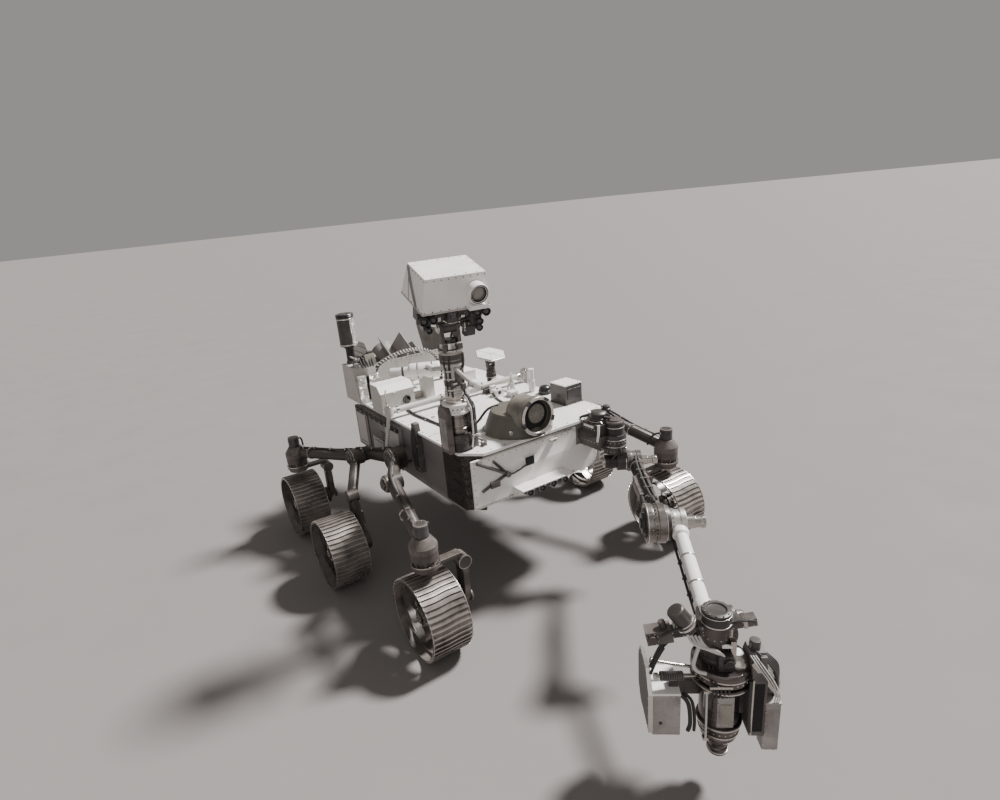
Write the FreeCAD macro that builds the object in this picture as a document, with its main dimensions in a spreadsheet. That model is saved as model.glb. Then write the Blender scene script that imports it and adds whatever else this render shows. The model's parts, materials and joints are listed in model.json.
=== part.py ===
import FreeCAD, Part
import math
import os
import Sketcher
import types

# Planetary rover with six wheels, a mast, a steerable antenna and a jointed
# arm. Millimetres and degrees. It faces -Y, its right side is -X and +Z is up.
# Reaches and offsets are measured from the middle of the middle wheels' axle,
# and heights from the ground.

SIZES = {
    # wheels
    "wheel_radius": 262.5,
    "wheel_width": 265,
    "wheel_lugs": 48,
    "lug_height": 10.5,
    "lug_root": 11,
    "lug_tip": 7,
    "rim_thickness": 5,
    "rim_inner_sides": 24,
    "wheel_spokes": 6,
    "spoke_thickness": 8,
    "spoke_width": 64,
    "spoke_setback": 52,
    "spoke_sweep_angle": 46,
    "hub_radius": 60,
    "hub_length": 96,
    "hub_sides": 12,
    "hub_cap_radius": 34,
    "hub_cap_height": 14,
    "front_axle_reach": 1081,
    "rear_axle_reach": 972,
    "front_wheel_offset": 1042,
    "middle_wheel_offset": 1217,
    "rear_wheel_offset": 1167,
    # shared gaps
    "running_gap": 0.3,
    "overrun": 5,
    "turn_clearance": 5,
    # steering drives and knuckles
    "drive_clearance": 75,
    "drive_flange_radius": 90,
    "drive_flange_height": 24,
    "drive_cone_radius": 74,
    "drive_cone_top_radius": 52,
    "drive_cone_height": 140,
    "drive_cap_radius": 44,
    "drive_cap_height": 108,
    "knuckle_plate_radius": 78,
    "knuckle_plate_height": 26,
    "knuckle_width": 62,
    "knuckle_depth": 54,
    "knuckle_wheel_gap": 84,
    "knuckle_bend": 84,
    "knuckle_sides": 24,
    "hub_drive_radius": 50,
    "hub_drive_collar_radius": 68,
    "hub_drive_collar_length": 26,
    # rockers
    "rocker_pivot_reach": 50,
    "rocker_pivot_rise": 170,
    "rocker_pivot_radius": 88,
    "rocker_pivot_gap": 50,
    "rocker_pivot_length": 110,
    "rocker_tube_radius": 45,
    "rocker_fitting_radius": 58,
    "rocker_front_bend_offset": 920,
    "rocker_front_bend_reach": 470,
    "rocker_front_bend_height": 880,
    "leg_end_rise": 130,
    # bogies
    "bogie_pivot_offset": 850,
    "bogie_pivot_reach": 380,
    "bogie_pivot_height": 780,
    "bogie_pivot_radius": 68,
    "bogie_pivot_length": 104,
    "bogie_tube_radius": 40,
    "bogie_fitting_radius": 50,
    "bogie_knee_reach": 96,
    "bogie_knee_height": 600,
    "bogie_foot_radius": 70,
    "bogie_foot_gap": 16,
    # differential
    "differential_reach": 83,
    "differential_rise": 62,
    "differential_radius": 24,
    "differential_hub_radius": 70,
    "differential_hub_height": 60,
    "differential_pad_radius": 34,
    "differential_link_radius": 15,
    # chassis and deck
    "chassis_half_width": 590,
    "chassis_front": 945,
    "chassis_rear": 900,
    "chassis_top": 1090,
    "chassis_belly": 680,
    "chassis_front_bevel": 120,
    "chassis_rear_bevel": 170,
    "deck_thickness": 18,
    "deck_overhang": 24,
    "deck_corner": 120,
    # front panel, visor and carousel
    "panel_thickness": 16,
    "panel_rise": 55,
    "panel_left_end": 360,
    "panel_right_end": 590,
    "lobe_radius": 100,
    "panel_shoulder": 270,
    "patch_width": 70,
    "patch_height": 60,
    "patch_offset": 144,
    "patch_rise": 240,
    "visor_width": 430,
    "visor_depth": 120,
    "visor_thickness": 14,
    "visor_offset": -72,
    "visor_rise": 113,
    "lens_radius": 22,
    "lens_length": 48,
    "lens_spacing": 98,
    "carousel_radius": 240,
    "carousel_top_radius": 172,
    "carousel_height": 150,
    "carousel_setback": 185,
    "carousel_offset": 78,
    "carousel_port_radius": 132,
    "carousel_port_bore": 108,
    "carousel_port_length": 44,
    "carousel_port_rise": 142,
    # mast
    "mast_inset": 38,
    "mast_setback": 160,
    "mast_base_radius": 62,
    "mast_drum_height": 140,
    "mast_ring_radius": 88,
    "mast_ring_height": 66,
    "mast_foot_radius": 80,
    "mast_foot_height": 112,
    "mast_neck_height": 50,
    "mast_plate_thickness": 36,
    "mast_plate_depth": 110,
    "mast_plate_height": 300,
    "mast_plate_gap": 10,
    "mast_tube_radius": 56,
    "mast_tube_length": 274,
    "mast_band_radius": 70,
    "mast_band_height": 90,
    "boom_radius": 13,
    "boom_length": 250,
    "boom_pod_radius": 24,
    "boom_pod_length": 74,
    "boom_start_rise": 164,
    "boom_drop": 46,
    "boom_half_angle": 92,
    "boom_middle_angle": 88,
    "neck_radius": 74,
    "neck_height": 56,
    "neck_collar_radius": 46,
    "neck_collar_height": 40,
    "neck_ear_thickness": 22,
    "neck_ear_gap": 84,
    "tilt_rise": 146,
    "tilt_pin_radius": 34,
    "head_pan_angle": 7.7,
    "head_tilt_angle": 18,
    "head_width": 430,
    "head_depth": 340,
    "head_height": 196,
    "head_top_width": 372,
    "head_top_depth": 268,
    "head_floor": 168,
    "head_setback": 40,
    "window_radius": 62,
    "window_bore": 48,
    "window_length": 34,
    "window_offset": 118,
    "window_rise": 92,
    "bar_width": 400,
    "bar_depth": 120,
    "bar_height": 92,
    "bar_floor": 74,
    "camera_radius": 26,
    "camera_length": 60,
    "camera_spread": 168,
    "camera_spacing": 58,
    # steerable antenna
    "dish_offset": 424,
    "dish_reach": 265,
    "dish_base_radius": 46,
    "dish_base_height": 96,
    "dish_stage_radius": 40,
    "dish_stage_height": 60,
    "dish_ear_thickness": 14,
    "dish_ear_gap": 44,
    "dish_axis_rise": 100,
    "dish_radius": 134,
    "dish_thickness": 22,
    "dish_neck_radius": 20,
    "dish_neck_length": 50,
    "dish_lean_angle": 12,
    # relay antenna and rear rack
    "relay_inset": 12,
    "relay_setback": 25,
    "relay_radius": 72,
    "relay_height": 250,
    "relay_stem_radius": 40,
    "relay_stem_height": 150,
    "relay_cap_height": 22,
    "rack_width": 200,
    "rack_length": 300,
    "rack_height": 300,
    "rack_taper": 60,
    # hoist holes through the deck
    "hoist_hole_radius": 6.5,
    "hoist_hole_depth": 40,
    "hoist_span_x": 760,
    "hoist_span_y": 300,
    "hoist_reach": 270,
    # deck units
    "box_width": 290,
    "box_length": 190,
    "box_height": 215,
    "box_slope": 55,
    "box_inset": 105,
    "box_reach": 325,
    "box_hole_radius": 30,
    "canister_radius": 66,
    "canister_neck_radius": 44,
    "canister_length": 250,
    "canister_neck_length": 170,
    "canister_offset": 30,
    "canister_reach": 330,
    "canister_rise": 222,
    "canister_turn_angle": 60,
    "canister_foot": 90,
    "unit_width": 150,
    "unit_length": 190,
    "unit_height": 92,
    "unit_offset": 330,
    "unit_reach": 575,
    "low_gain_radius": 26,
    "low_gain_height": 190,
    "low_gain_offset": 505,
    "low_gain_reach": -190,
    # power source at the rear
    "generator_radius": 130,
    "generator_length": 420,
    "generator_fin_radius": 300,
    "generator_fin_thickness": 8,
    "generator_fins": 8,
    "generator_lean_angle": 32,
    "generator_standoff": 175,
    "generator_drop": 80,
    "generator_cap_length": 70,
    "generator_fin_start": 50,
    "generator_mount_radius": 60,
    "plate_thickness": 14,
    "plate_half_span": 370,
    "plate_length": 560,
    "plate_height": 560,
    "plate_drop": 130,
    # sides
    "side_panel_thickness": 34,
    "side_panel_length": 840,
    "side_panel_height": 350,
    "side_panel_rise": 22,
    "side_panel_reach": -430,
    "grille_length": 110,
    "grille_reach": -285,
    "grille_slots": 4,
    "grille_slot_height": 12,
    "grille_rise": 160,
    "strut_thickness": 42,
    "strut_width": 56,
    "strut_reach": -600,
    "conduit_reach": 280,
    "conduit_width": 90,
    "conduit_thickness": 44,
    "conduit_rise": 118,
    "conduit_height": 370,
    "conduit_taper": 115,
    # front corner skirt and truss
    "corner_bevel": 90,
    "skirt_thickness": 12,
    "skirt_length": 240,
    "skirt_height": 380,
    "truss_radius": 10,
    "truss_foot_offset": 330,
    "truss_foot_rise": 180,
    "truss_left_offset": 430,
    "truss_left_rise": 300,
    "truss_right_offset": 555,
    "truss_right_rise": 320,
    "truss_low_offset": 530,
    "truss_low_rise": 118,
    # front left equipment
    "front_unit_width": 160,
    "front_unit_length": 170,
    "front_unit_height": 150,
    "front_unit_offset": 524,
    "front_unit_reach": 580,
    "dome_radius": 50,
    "dome_height": 70,
    "dome_offset": 540,
    "dome_reach": 310,
    # arm
    "shoulder_offset": 431,
    "shoulder_standoff": 219,
    "shoulder_drop": 264,
    "arm_swing_angle": 38,
    "upper_arm_angle": -1.4,
    "upper_arm_length": 882,
    "forearm_angle": 14.5,
    "forearm_length": 615,
    "azimuth_radius": 76,
    "azimuth_gap": 79,
    "azimuth_height": 64,
    "housing_height": 66,
    "housing_cap_radius": 64,
    "housing_cap_height": 84,
    "bracket_width": 180,
    "bracket_shift": 40,
    "bracket_top_height": 74,
    "bracket_top_length": 165,
    "bracket_overhang_gap": 16,
    "post_radius": 26,
    "post_height": 90,
    "post_offset": 95,
    "shoulder_motor_start": -70,
    "shoulder_motor_radius": 46,
    "shoulder_fork_start": 10,
    "shoulder_fork_end": 74,
    "shoulder_fork_radius": 62,
    "shoulder_drum_end": 172,
    "shoulder_drum_radius": 70,
    "shoulder_shaft_end": 278,
    "shoulder_shaft_radius": 30,
    "upper_plane": 124,
    "upper_tube_radius": 42,
    "cable_box_thickness": 34,
    "cable_box_width": 66,
    "cable_box_length": 270,
    "cable_box_start": 325,
    "elbow_drum_start": 40,
    "elbow_drum_end": 166,
    "elbow_drum_radius": 108,
    "elbow_band_radius": 96,
    "elbow_band_length": 26,
    "elbow_knuckle_end": 250,
    "elbow_knuckle_radius": 76,
    "elbow_shaft_end": 356,
    "elbow_shaft_radius": 36,
    "fore_plane": 210,
    "fore_tube_radius": 35,
    "wrist_fork_start": 170,
    "wrist_fork_end": 252,
    "wrist_knuckle_radius": 52,
    "wrist_drum_end": 322,
    "wrist_drum_radius": 56,
    "wrist_shaft_end": 364,
    "wrist_shaft_radius": 34,
    "turret_plane": 210,
    "turret_drive_radius": 66,
    "turret_drive_start": 72,
    "turret_drive_length": 20,
    # turret
    "turret_hub_radius": 100,
    "turret_hub_length": 28,
    "drill_radius": 84,
    "drill_reach": 128,
    "drill_top": 28,
    "drill_height": 390,
    "drill_ring_radius": 93,
    "drill_ring_height": 16,
    "drill_rim_share": 0.22,
    "drill_collar_radius": 122,
    "drill_collar_height": 62,
    "drill_collar_groove": 14,
    "drill_nose_radius": 44,
    "drill_nose_length": 120,
    "chuck_bore": 28,
    "chuck_depth": 60,
    "drill_neck_radius": 56,
    "drill_neck_shift": 28,
    "drill_neck_height": 180,
    "drill_cap_radius": 60,
    "drill_cap_height": 68,
    "left_box_width": 116,
    "left_box_depth": 170,
    "left_box_height": 224,
    "left_box_offset": 240,
    "left_box_drop": 142,
    "left_plate_thickness": 16,
    "left_plate_depth": 250,
    "left_plate_height": 290,
    "left_plate_drop": 64,
    "right_frame_width": 62,
    "right_frame_depth": 130,
    "right_frame_height": 402,
    "right_frame_offset": 126,
    "right_frame_rise": 48,
    "right_plate_width": 64,
    "right_plate_depth": 60,
    "right_plate_height": 246,
    "right_plate_offset": 184,
    "right_plate_drop": 186,
    "box_arm_width": 70,
    "box_arm_height": 50,
    "crossbar_length": 392,
    "crossbar_height": 36,
    "crossbar_depth": 44,
    "crossbar_lean_angle": 10,
    "crossbar_rise": 132,
    "crossbar_offset": 66,
    "motor_length": 108,
    "motor_width": 62,
    "motor_depth": 64,
    "spare_radius": 38,
    "spare_length": 110,
    "spare_offset": 66,
    "spare_lean_angle": 24,
}


class Size:
    """A number together with the sheet formula that it comes from."""

    def __init__(self, value, text):
        self.value = float(value)
        self.text = text

    def __float__(self):
        return self.value

    def join(self, other, sign, value):
        return Size(value, "(%s %s %s)" % (self.text, sign, formula(other)))

    def __add__(self, other):
        return self.join(other, "+", self.value + float(other))

    def __radd__(self, other):
        return Size(other, formula(other)) + self

    def __sub__(self, other):
        return self.join(other, "-", self.value - float(other))

    def __rsub__(self, other):
        return Size(other, formula(other)) - self

    def __mul__(self, other):
        return self.join(other, "*", self.value * float(other))

    def __rmul__(self, other):
        return self * other

    def __truediv__(self, other):
        return self.join(other, "/", self.value / float(other))

    def __neg__(self):
        return Size(-self.value, "(-1 * %s)" % self.text)


def formula(number):
    """Text that the sheet understands for a size or a plain number."""
    return number.text if isinstance(number, Size) else repr(float(number))


def sine(angle):
    return Size(math.sin(math.radians(float(angle))), "sin(%s)" % angle.text)


def cosine(angle):
    return Size(math.cos(math.radians(float(angle))), "cos(%s)" % angle.text)


def fill_sheet(sizes):
    """Writes the sizes into the sheet and returns them under their names."""
    named = {}
    for row, (name, number) in enumerate(sizes.items(), start=1):
        sheet.set("A%d" % row, name)
        sheet.set("B%d" % row, str(number))
        sheet.setAlias("B%d" % row, name)
        named[name] = Size(number, "Sizes." + name)
    doc.recompute()
    return types.SimpleNamespace(**named)


doc = FreeCAD.newDocument("PlanetaryRover")
sheet = doc.addObject("Spreadsheet::Sheet", "Sizes")
v = fill_sheet(SIZES)
zero = Size(0, "0")
nodes = {}

ALONG = {
    "x": FreeCAD.Rotation(FreeCAD.Vector(0, 1, 0), 90),
    "y": FreeCAD.Rotation(FreeCAD.Vector(1, 0, 0), -90),
    "z": FreeCAD.Rotation(),
}
ROLE = {"xy": "XY_Plane", "xz": "XZ_Plane", "yz": "YZ_Plane"}


def turned(axis, angle):
    """Rotation about a named axis."""
    direction = FreeCAD.Vector(*[float(letter == axis) for letter in "xyz"])
    return FreeCAD.Rotation(direction, float(angle))


def place(thing, at, turn=FreeCAD.Rotation()):
    """Turns a thing and binds its place to the sheet."""
    thing.Placement = FreeCAD.Placement(FreeCAD.Vector(*[float(number) for number in at]), turn)
    for letter, number in zip("xyz", at):
        thing.setExpression("Placement.Base." + letter, formula(number))
    return thing


def block(size, foot, turn=FreeCAD.Rotation()):
    """Box whose floor is centred on a point, turned about its low corner."""
    thing = doc.addObject("Part::Box", "block")
    for field, number in zip(("Length", "Width", "Height"), size):
        thing.setExpression(field, formula(number))
    corner = FreeCAD.Vector(-float(size[0]) / 2, -float(size[1]) / 2, 0)
    if turn.isNull() or turn.isIdentity():
        return place(thing, (foot[0] - size[0] / 2, foot[1] - size[1] / 2, foot[2]))
    thing.Placement = FreeCAD.Placement(corner, FreeCAD.Rotation())
    holder = doc.addObject("Part::Compound", "turned")
    holder.Links = [thing]
    return place(holder, foot, turn)


def drum(radius, length, start, along="z"):
    """Cylinder from the middle of its first end."""
    thing = doc.addObject("Part::Cylinder", "drum")
    thing.setExpression("Radius", formula(radius))
    thing.setExpression("Height", formula(length))
    return place(thing, start, ALONG.get(along, along))


def prism(radius, length, start, sides, along="z"):
    """Many-sided drum whose flats stand at the radius."""
    thing = doc.addObject("Part::Prism", "prism")
    thing.setExpression("Polygon", formula(sides))
    thing.setExpression("Circumradius", formula(radius / cosine(Size(180, "180") / sides)))
    thing.setExpression("Height", formula(length))
    return place(thing, start, ALONG.get(along, along))


def cone(radius, top_radius, length, start, along="z"):
    thing = doc.addObject("Part::Cone", "cone")
    thing.setExpression("Radius1", formula(radius))
    thing.setExpression("Radius2", formula(top_radius))
    thing.setExpression("Height", formula(length))
    return place(thing, start, ALONG.get(along, along))


def rod(radius, start, end):
    """Straight tube between two points."""
    first = FreeCAD.Vector(*[float(number) for number in start])
    run = FreeCAD.Vector(*[float(number) for number in end]) - first
    thing = doc.addObject("Part::Cylinder", "rod")
    thing.setExpression("Radius", formula(radius))
    thing.Height = run.Length
    return place(thing, start, FreeCAD.Rotation(FreeCAD.Vector(0, 0, 1), run))


def fuse(*pieces):
    thing = doc.addObject("Part::MultiFuse", "joined")
    thing.Shapes = list(pieces)
    thing.Refine = True
    return thing


def cut(base, *tools):
    """Base with the tools taken away."""
    for tool in tools:
        thing = doc.addObject("Part::Cut", "cut")
        thing.Base = base
        thing.Tool = tool
        base = thing
    return base


def group(*pieces):
    """Pieces that don't touch, kept as separate solids."""
    thing = doc.addObject("Part::Compound", "pieces")
    thing.Links = list(pieces)
    return thing


def mirrored(thing):
    """The same thing on the other side of the centre plane."""
    other = doc.addObject("Part::Mirroring", "mirrored")
    other.Source = thing
    other.Normal = FreeCAD.Vector(1, 0, 0)
    return other


def outline(body, plane, points):
    """Closed sketch whose corners are bound to the sheet."""
    sketch = body.newObject("Sketcher::SketchObject", "outline")
    flat = [one for one in body.Origin.OriginFeatures if one.Role == ROLE[plane]][0]
    sketch.AttachmentSupport = (flat, "")
    sketch.MapMode = "FlatFace"
    corners = [FreeCAD.Vector(float(point[0]), float(point[1]), 0) for point in points]
    count = len(corners)
    for i, corner in enumerate(corners):
        sketch.addGeometry(Part.LineSegment(corner, corners[(i + 1) % count]), False)
    for i, point in enumerate(points):
        sketch.addConstraint(Sketcher.Constraint("Coincident", i, 2, (i + 1) % count, 1))
        for kind, number in zip(("DistanceX", "DistanceY"), point):
            k = sketch.addConstraint(Sketcher.Constraint(kind, -1, 1, i, 1, float(number)))
            sketch.setExpression("Constraints[%d]" % k, formula(number))
    return sketch


def padded(plane, points, length, centred=True):
    """Body made by padding an outline."""
    body = doc.addObject("PartDesign::Body", "plate")
    pad = body.newObject("PartDesign::Pad", "pad")
    pad.Profile = (outline(body, plane, points), [""])
    pad.Midplane = centred
    pad.Length = float(length)
    pad.setExpression("Length", formula(length))
    return body


def node(name, thing, at=None, turn=FreeCAD.Rotation()):
    """Names a sub-part; with a place, its shape was drawn about its own pivot."""
    holder = doc.addObject("Part::Compound", name)
    holder.Links = [thing]
    holder.Label = name
    nodes[name] = place(holder, at or (Size(0, "0"), Size(0, "0"), Size(0, "0")), turn)
    return holder


# Wheels.

def ring_points(radius, sides, turn=0):
    step = 2 * math.pi / sides
    return [FreeCAD.Vector(0, radius * math.cos(step * (i + turn)), radius * math.sin(step * (i + turn)))
            for i in range(sides)]


def tread_shape():
    """Thin rim with straight cross lugs, the outer face at -X."""
    lugs = int(float(v.wheel_lugs))
    width = float(v.wheel_width)
    tip = float(v.wheel_radius)
    root = tip - float(v.lug_height)
    edge = []
    for i in range(lugs):
        middle = 2 * math.pi * i / lugs
        for radius, side in ((root, -float(v.lug_root)), (tip, -float(v.lug_tip)),
                             (tip, float(v.lug_tip)), (root, float(v.lug_root))):
            angle = middle + side / 2 / radius
            edge.append(FreeCAD.Vector(0, radius * math.cos(angle), radius * math.sin(angle)))
    inner = ring_points(root - float(v.rim_thickness), int(float(v.rim_inner_sides)))
    outer_face = Part.Face(Part.makePolygon(edge + edge[:1]))
    inner_face = Part.Face(Part.makePolygon(inner + inner[:1]))
    ring = outer_face.cut(inner_face).Faces[0]
    tread = ring.extrude(FreeCAD.Vector(width, 0, 0))
    tread.translate(FreeCAD.Vector(-width / 2, 0, 0))
    return tread


def spoke_shape(turn):
    """One curved flexure from the hub to the rim."""
    inner = float(v.hub_radius) - float(v.spoke_thickness)
    outer = float(v.wheel_radius - v.lug_height - v.rim_thickness) + float(v.rim_thickness) / 2
    half = float(v.spoke_thickness) / 2
    sweep = math.radians(float(v.spoke_sweep_angle))
    stations = []
    steps = 3
    for i in range(steps + 1):
        share = i / steps
        radius = inner + (outer - inner) * share
        angle = turn + sweep * math.sin(math.pi / 2 * share)
        stations.append(FreeCAD.Vector(0, radius * math.cos(angle), radius * math.sin(angle)))
    left, right = [], []
    for i, point in enumerate(stations):
        run = stations[min(i + 1, steps)] - stations[max(i - 1, 0)]
        side = FreeCAD.Vector(0, -run.z, run.y).normalize() * half
        left.append(point + side)
        right.append(point - side)
    loop = left + right[::-1]
    strip = Part.Face(Part.makePolygon(loop + loop[:1])).extrude(FreeCAD.Vector(float(v.spoke_width), 0, 0))
    strip.translate(FreeCAD.Vector(float(v.spoke_setback - v.wheel_width / 2), 0, 0))
    return strip


def hub_piece(radius, length):
    """Many-sided drum along the axle from the spokes' outer side."""
    ring = ring_points(float(radius), int(float(v.hub_sides)), 0.5)
    piece = Part.Face(Part.makePolygon(ring + ring[:1])).extrude(FreeCAD.Vector(float(length), 0, 0))
    piece.translate(FreeCAD.Vector(float(v.spoke_setback - v.wheel_width / 2), 0, 0))
    return piece


def wheel_shape():
    """Tread, flexure spokes and hub as one solid about the axle."""
    hub = hub_piece(v.hub_radius, v.hub_length)
    cap = hub_piece(v.hub_cap_radius, -v.hub_cap_height)
    count = int(float(v.wheel_spokes))
    spokes = [spoke_shape(2 * math.pi * i / count) for i in range(count)]
    return tread_shape().fuse([hub, cap] + spokes).removeSplitter()


wheel = wheel_shape()
WHEEL_PLACES = {
    "front": (v.front_wheel_offset, -v.front_axle_reach),
    "middle": (v.middle_wheel_offset, zero),
    "rear": (v.rear_wheel_offset, v.rear_axle_reach),
}
for end, (offset, reach) in WHEEL_PLACES.items():
    for side, sign in (("right", -1), ("left", 1)):
        rolling = doc.addObject("Part::Feature", "wheel_%s_%s" % (end, side))
        rolling.Shape = wheel if sign < 0 else wheel.mirror(FreeCAD.Vector(), FreeCAD.Vector(1, 0, 0))
        rolling.Label = "wheel_%s_%s" % (end, side)
        nodes[rolling.Label] = place(rolling, (offset * sign, reach, v.wheel_radius))

# Steering knuckles: a plate under the drive, a bent arm down the wheel's inner
# side and the hub drive that the wheel turns on.

hub_face = v.wheel_width / 2 - v.spoke_setback - v.hub_length
arm_middle = v.wheel_width / 2 + v.knuckle_wheel_gap + v.knuckle_depth / 2
drive_floor = v.wheel_radius * 2 + v.drive_clearance
plate_floor = drive_floor - v.running_gap - v.knuckle_plate_height


def knuckle():
    """Knuckle of a right wheel about its steering axis; the body lies at +X."""
    half = v.knuckle_depth / 2
    top = plate_floor + v.knuckle_plate_height
    low = v.wheel_radius - v.knuckle_width / 2
    inner = arm_middle + half
    outer = arm_middle - half
    arm = padded("xz", [
        (-v.knuckle_plate_radius / 2, plate_floor), (-v.knuckle_plate_radius / 2, top),
        (inner - v.knuckle_bend / 2, top), (inner, top - v.knuckle_bend / 2),
        (inner, low + v.knuckle_bend / 2), (inner - v.knuckle_bend / 2, low),
        (outer, low), (outer, plate_floor - v.knuckle_bend / 4),
        (outer - v.knuckle_bend / 4, plate_floor)], v.knuckle_width)
    plate = prism(v.knuckle_plate_radius, v.knuckle_plate_height, (zero, zero, plate_floor),
                  v.knuckle_sides)
    collar = drum(v.hub_drive_collar_radius, v.hub_drive_collar_length,
                  (outer - v.hub_drive_collar_length, zero, v.wheel_radius), "x")
    start = v.running_gap - hub_face
    drive = drum(v.hub_drive_radius, outer - start, (start, zero, v.wheel_radius), "x")
    return fuse(arm, plate, collar, drive)


for end, (offset, reach) in WHEEL_PLACES.items():
    if end != "middle":
        right = knuckle() if end == "front" else right
        node("knuckle_%s_right" % end, right, (-offset, reach, zero))
        node("knuckle_%s_left" % end, mirrored(right), (offset, reach, zero))

# Steering drives: bolted flange, cone and cap over each steered wheel.


def steering_drive(offset, reach):
    floor = drive_floor + v.drive_flange_height
    flange = drum(v.drive_flange_radius, v.drive_flange_height, (-offset, reach, drive_floor))
    body = cone(v.drive_cone_radius, v.drive_cone_top_radius, v.drive_cone_height, (-offset, reach, floor))
    cap = drum(v.drive_cap_radius, v.drive_cap_height, (-offset, reach, floor + v.drive_cone_height))
    return fuse(flange, body, cap)


front_drive = steering_drive(v.front_wheel_offset, -v.front_axle_reach)
rear_drive = steering_drive(v.rear_wheel_offset, v.rear_axle_reach)
drives_right = group(front_drive, rear_drive)
node("steering_drives_right", drives_right)
node("steering_drives_left", mirrored(drives_right))

# Rockers: pivot drum on the chassis side, a leg to the front drive and a short
# arm to the bogie pivot.

collar_height = v.drive_cone_height * 0.6
collar_floor = drive_floor + v.drive_flange_height + v.drive_cone_height * 0.2
leg_end = drive_floor + v.leg_end_rise
rocker_offset = v.chassis_half_width + v.rocker_pivot_gap
pivot_level = v.chassis_belly + v.rocker_pivot_rise


def drive_collar(offset, reach):
    return drum(v.drive_cone_radius + v.rocker_tube_radius / 4, collar_height, (-offset, reach, collar_floor))


rocker_middle = (-(rocker_offset + v.rocker_pivot_length / 2), -v.rocker_pivot_reach,
                 pivot_level)
rocker_knee = (-v.rocker_front_bend_offset, -v.rocker_front_bend_reach, v.rocker_front_bend_height)
bogie_inner = v.bogie_pivot_offset - v.bogie_pivot_length / 2
rocker_tail = (-(bogie_inner - v.rocker_tube_radius), v.bogie_pivot_reach, v.bogie_pivot_height)
rocker_shape = cut(
    fuse(
        drum(v.rocker_pivot_radius, v.rocker_pivot_length,
             (-(rocker_offset + v.rocker_pivot_length), -v.rocker_pivot_reach, pivot_level), "x"),
        rod(v.rocker_tube_radius, rocker_middle, rocker_knee),
        drum(v.rocker_fitting_radius, v.rocker_fitting_radius * 2,
             (rocker_knee[0] - v.rocker_fitting_radius, rocker_knee[1], rocker_knee[2]), "x"),
        rod(v.rocker_tube_radius, rocker_knee,
            (-v.front_wheel_offset, -v.front_axle_reach, leg_end)),
        drive_collar(v.front_wheel_offset, -v.front_axle_reach),
        rod(v.rocker_tube_radius, rocker_middle, rocker_tail),
        drum(v.rocker_fitting_radius, v.rocker_tube_radius * 2,
             (-bogie_inner, rocker_tail[1], rocker_tail[2]), "x")),
    front_drive)
node("rocker_right", rocker_shape)
node("rocker_left", mirrored(rocker_shape))

# Bogies: pivot drum, beam to the rear drive, strut and hub drive of the middle
# wheel.

bogie_middle = (-v.bogie_pivot_offset, v.bogie_pivot_reach, v.bogie_pivot_height)
foot_face = v.middle_wheel_offset - v.wheel_width / 2 - v.bogie_foot_gap
foot_offset = foot_face - v.bogie_tube_radius
bogie_knee = (-foot_offset, v.bogie_knee_reach, v.bogie_knee_height)
bogie_foot = (-foot_offset, zero, v.wheel_radius)
bogie_shape = cut(
    fuse(
        drum(v.bogie_pivot_radius, v.bogie_pivot_length,
             (-(v.bogie_pivot_offset + v.bogie_pivot_length / 2), v.bogie_pivot_reach,
              v.bogie_pivot_height), "x"),
        rod(v.bogie_tube_radius, bogie_middle,
            (-v.rear_wheel_offset, v.rear_axle_reach, leg_end)),
        drive_collar(v.rear_wheel_offset, v.rear_axle_reach),
        rod(v.bogie_tube_radius, bogie_middle, bogie_knee),
        drum(v.bogie_fitting_radius, v.bogie_tube_radius * 2,
             (-foot_face, bogie_knee[1], bogie_knee[2]), "x"),
        rod(v.bogie_tube_radius, bogie_knee, bogie_foot),
        drum(v.bogie_foot_radius, v.bogie_tube_radius * 2, (-foot_face, zero, v.wheel_radius), "x"),
        drum(v.hub_drive_radius, v.middle_wheel_offset + hub_face - v.running_gap - foot_face,
             (-(v.middle_wheel_offset + hub_face - v.running_gap), zero, v.wheel_radius), "x")),
    rear_drive)
node("bogie_right", bogie_shape)
node("bogie_left", mirrored(bogie_shape))

# Chassis: a box with bevelled belly ends and the pivot stubs of the rockers.

half = v.chassis_half_width
chassis_box = padded("yz", [
    (-v.chassis_front, v.chassis_top), (-v.chassis_front, v.chassis_belly + v.chassis_front_bevel / 2),
    (-v.chassis_front + v.chassis_front_bevel, v.chassis_belly),
    (v.chassis_rear - v.chassis_rear_bevel, v.chassis_belly),
    (v.chassis_rear, v.chassis_belly + v.chassis_rear_bevel),
    (v.chassis_rear, v.chassis_top)], half * 2)
axle = drum(v.rocker_tube_radius + v.rocker_tube_radius / 3, rocker_offset * 2,
            (-rocker_offset, -v.rocker_pivot_reach, pivot_level), "x")
deck_floor = v.chassis_top
hoist_holes = []
for side in (-1, 1):
    for end in (-1, 1):
        hoist_holes.append(drum(
            v.hoist_hole_radius, v.hoist_hole_depth + v.overrun,
            (v.hoist_span_x / 2 * side, v.hoist_span_y / 2 * end - v.hoist_reach,
             deck_floor + v.deck_thickness - v.hoist_hole_depth)))
corners = []
bevel_width = v.corner_bevel * 2 * cosine(Size(45, "45"))
for side in (-1, 1):
    for end in (-v.chassis_front, v.chassis_rear):
        turn_share = side if end is not v.chassis_rear else -side
        corners.append(block((bevel_width, bevel_width, v.chassis_top), (half * side, end, zero),
                             turned("z", 45 * turn_share)))
chassis = cut(fuse(cut(chassis_box, *corners), axle), group(*hoist_holes))
node("chassis", chassis)
deck_top = deck_floor + v.deck_thickness
deck_side = half + v.deck_overhang
deck_front = v.chassis_front + v.deck_overhang
deck_rear = v.chassis_rear + v.deck_overhang
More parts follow.
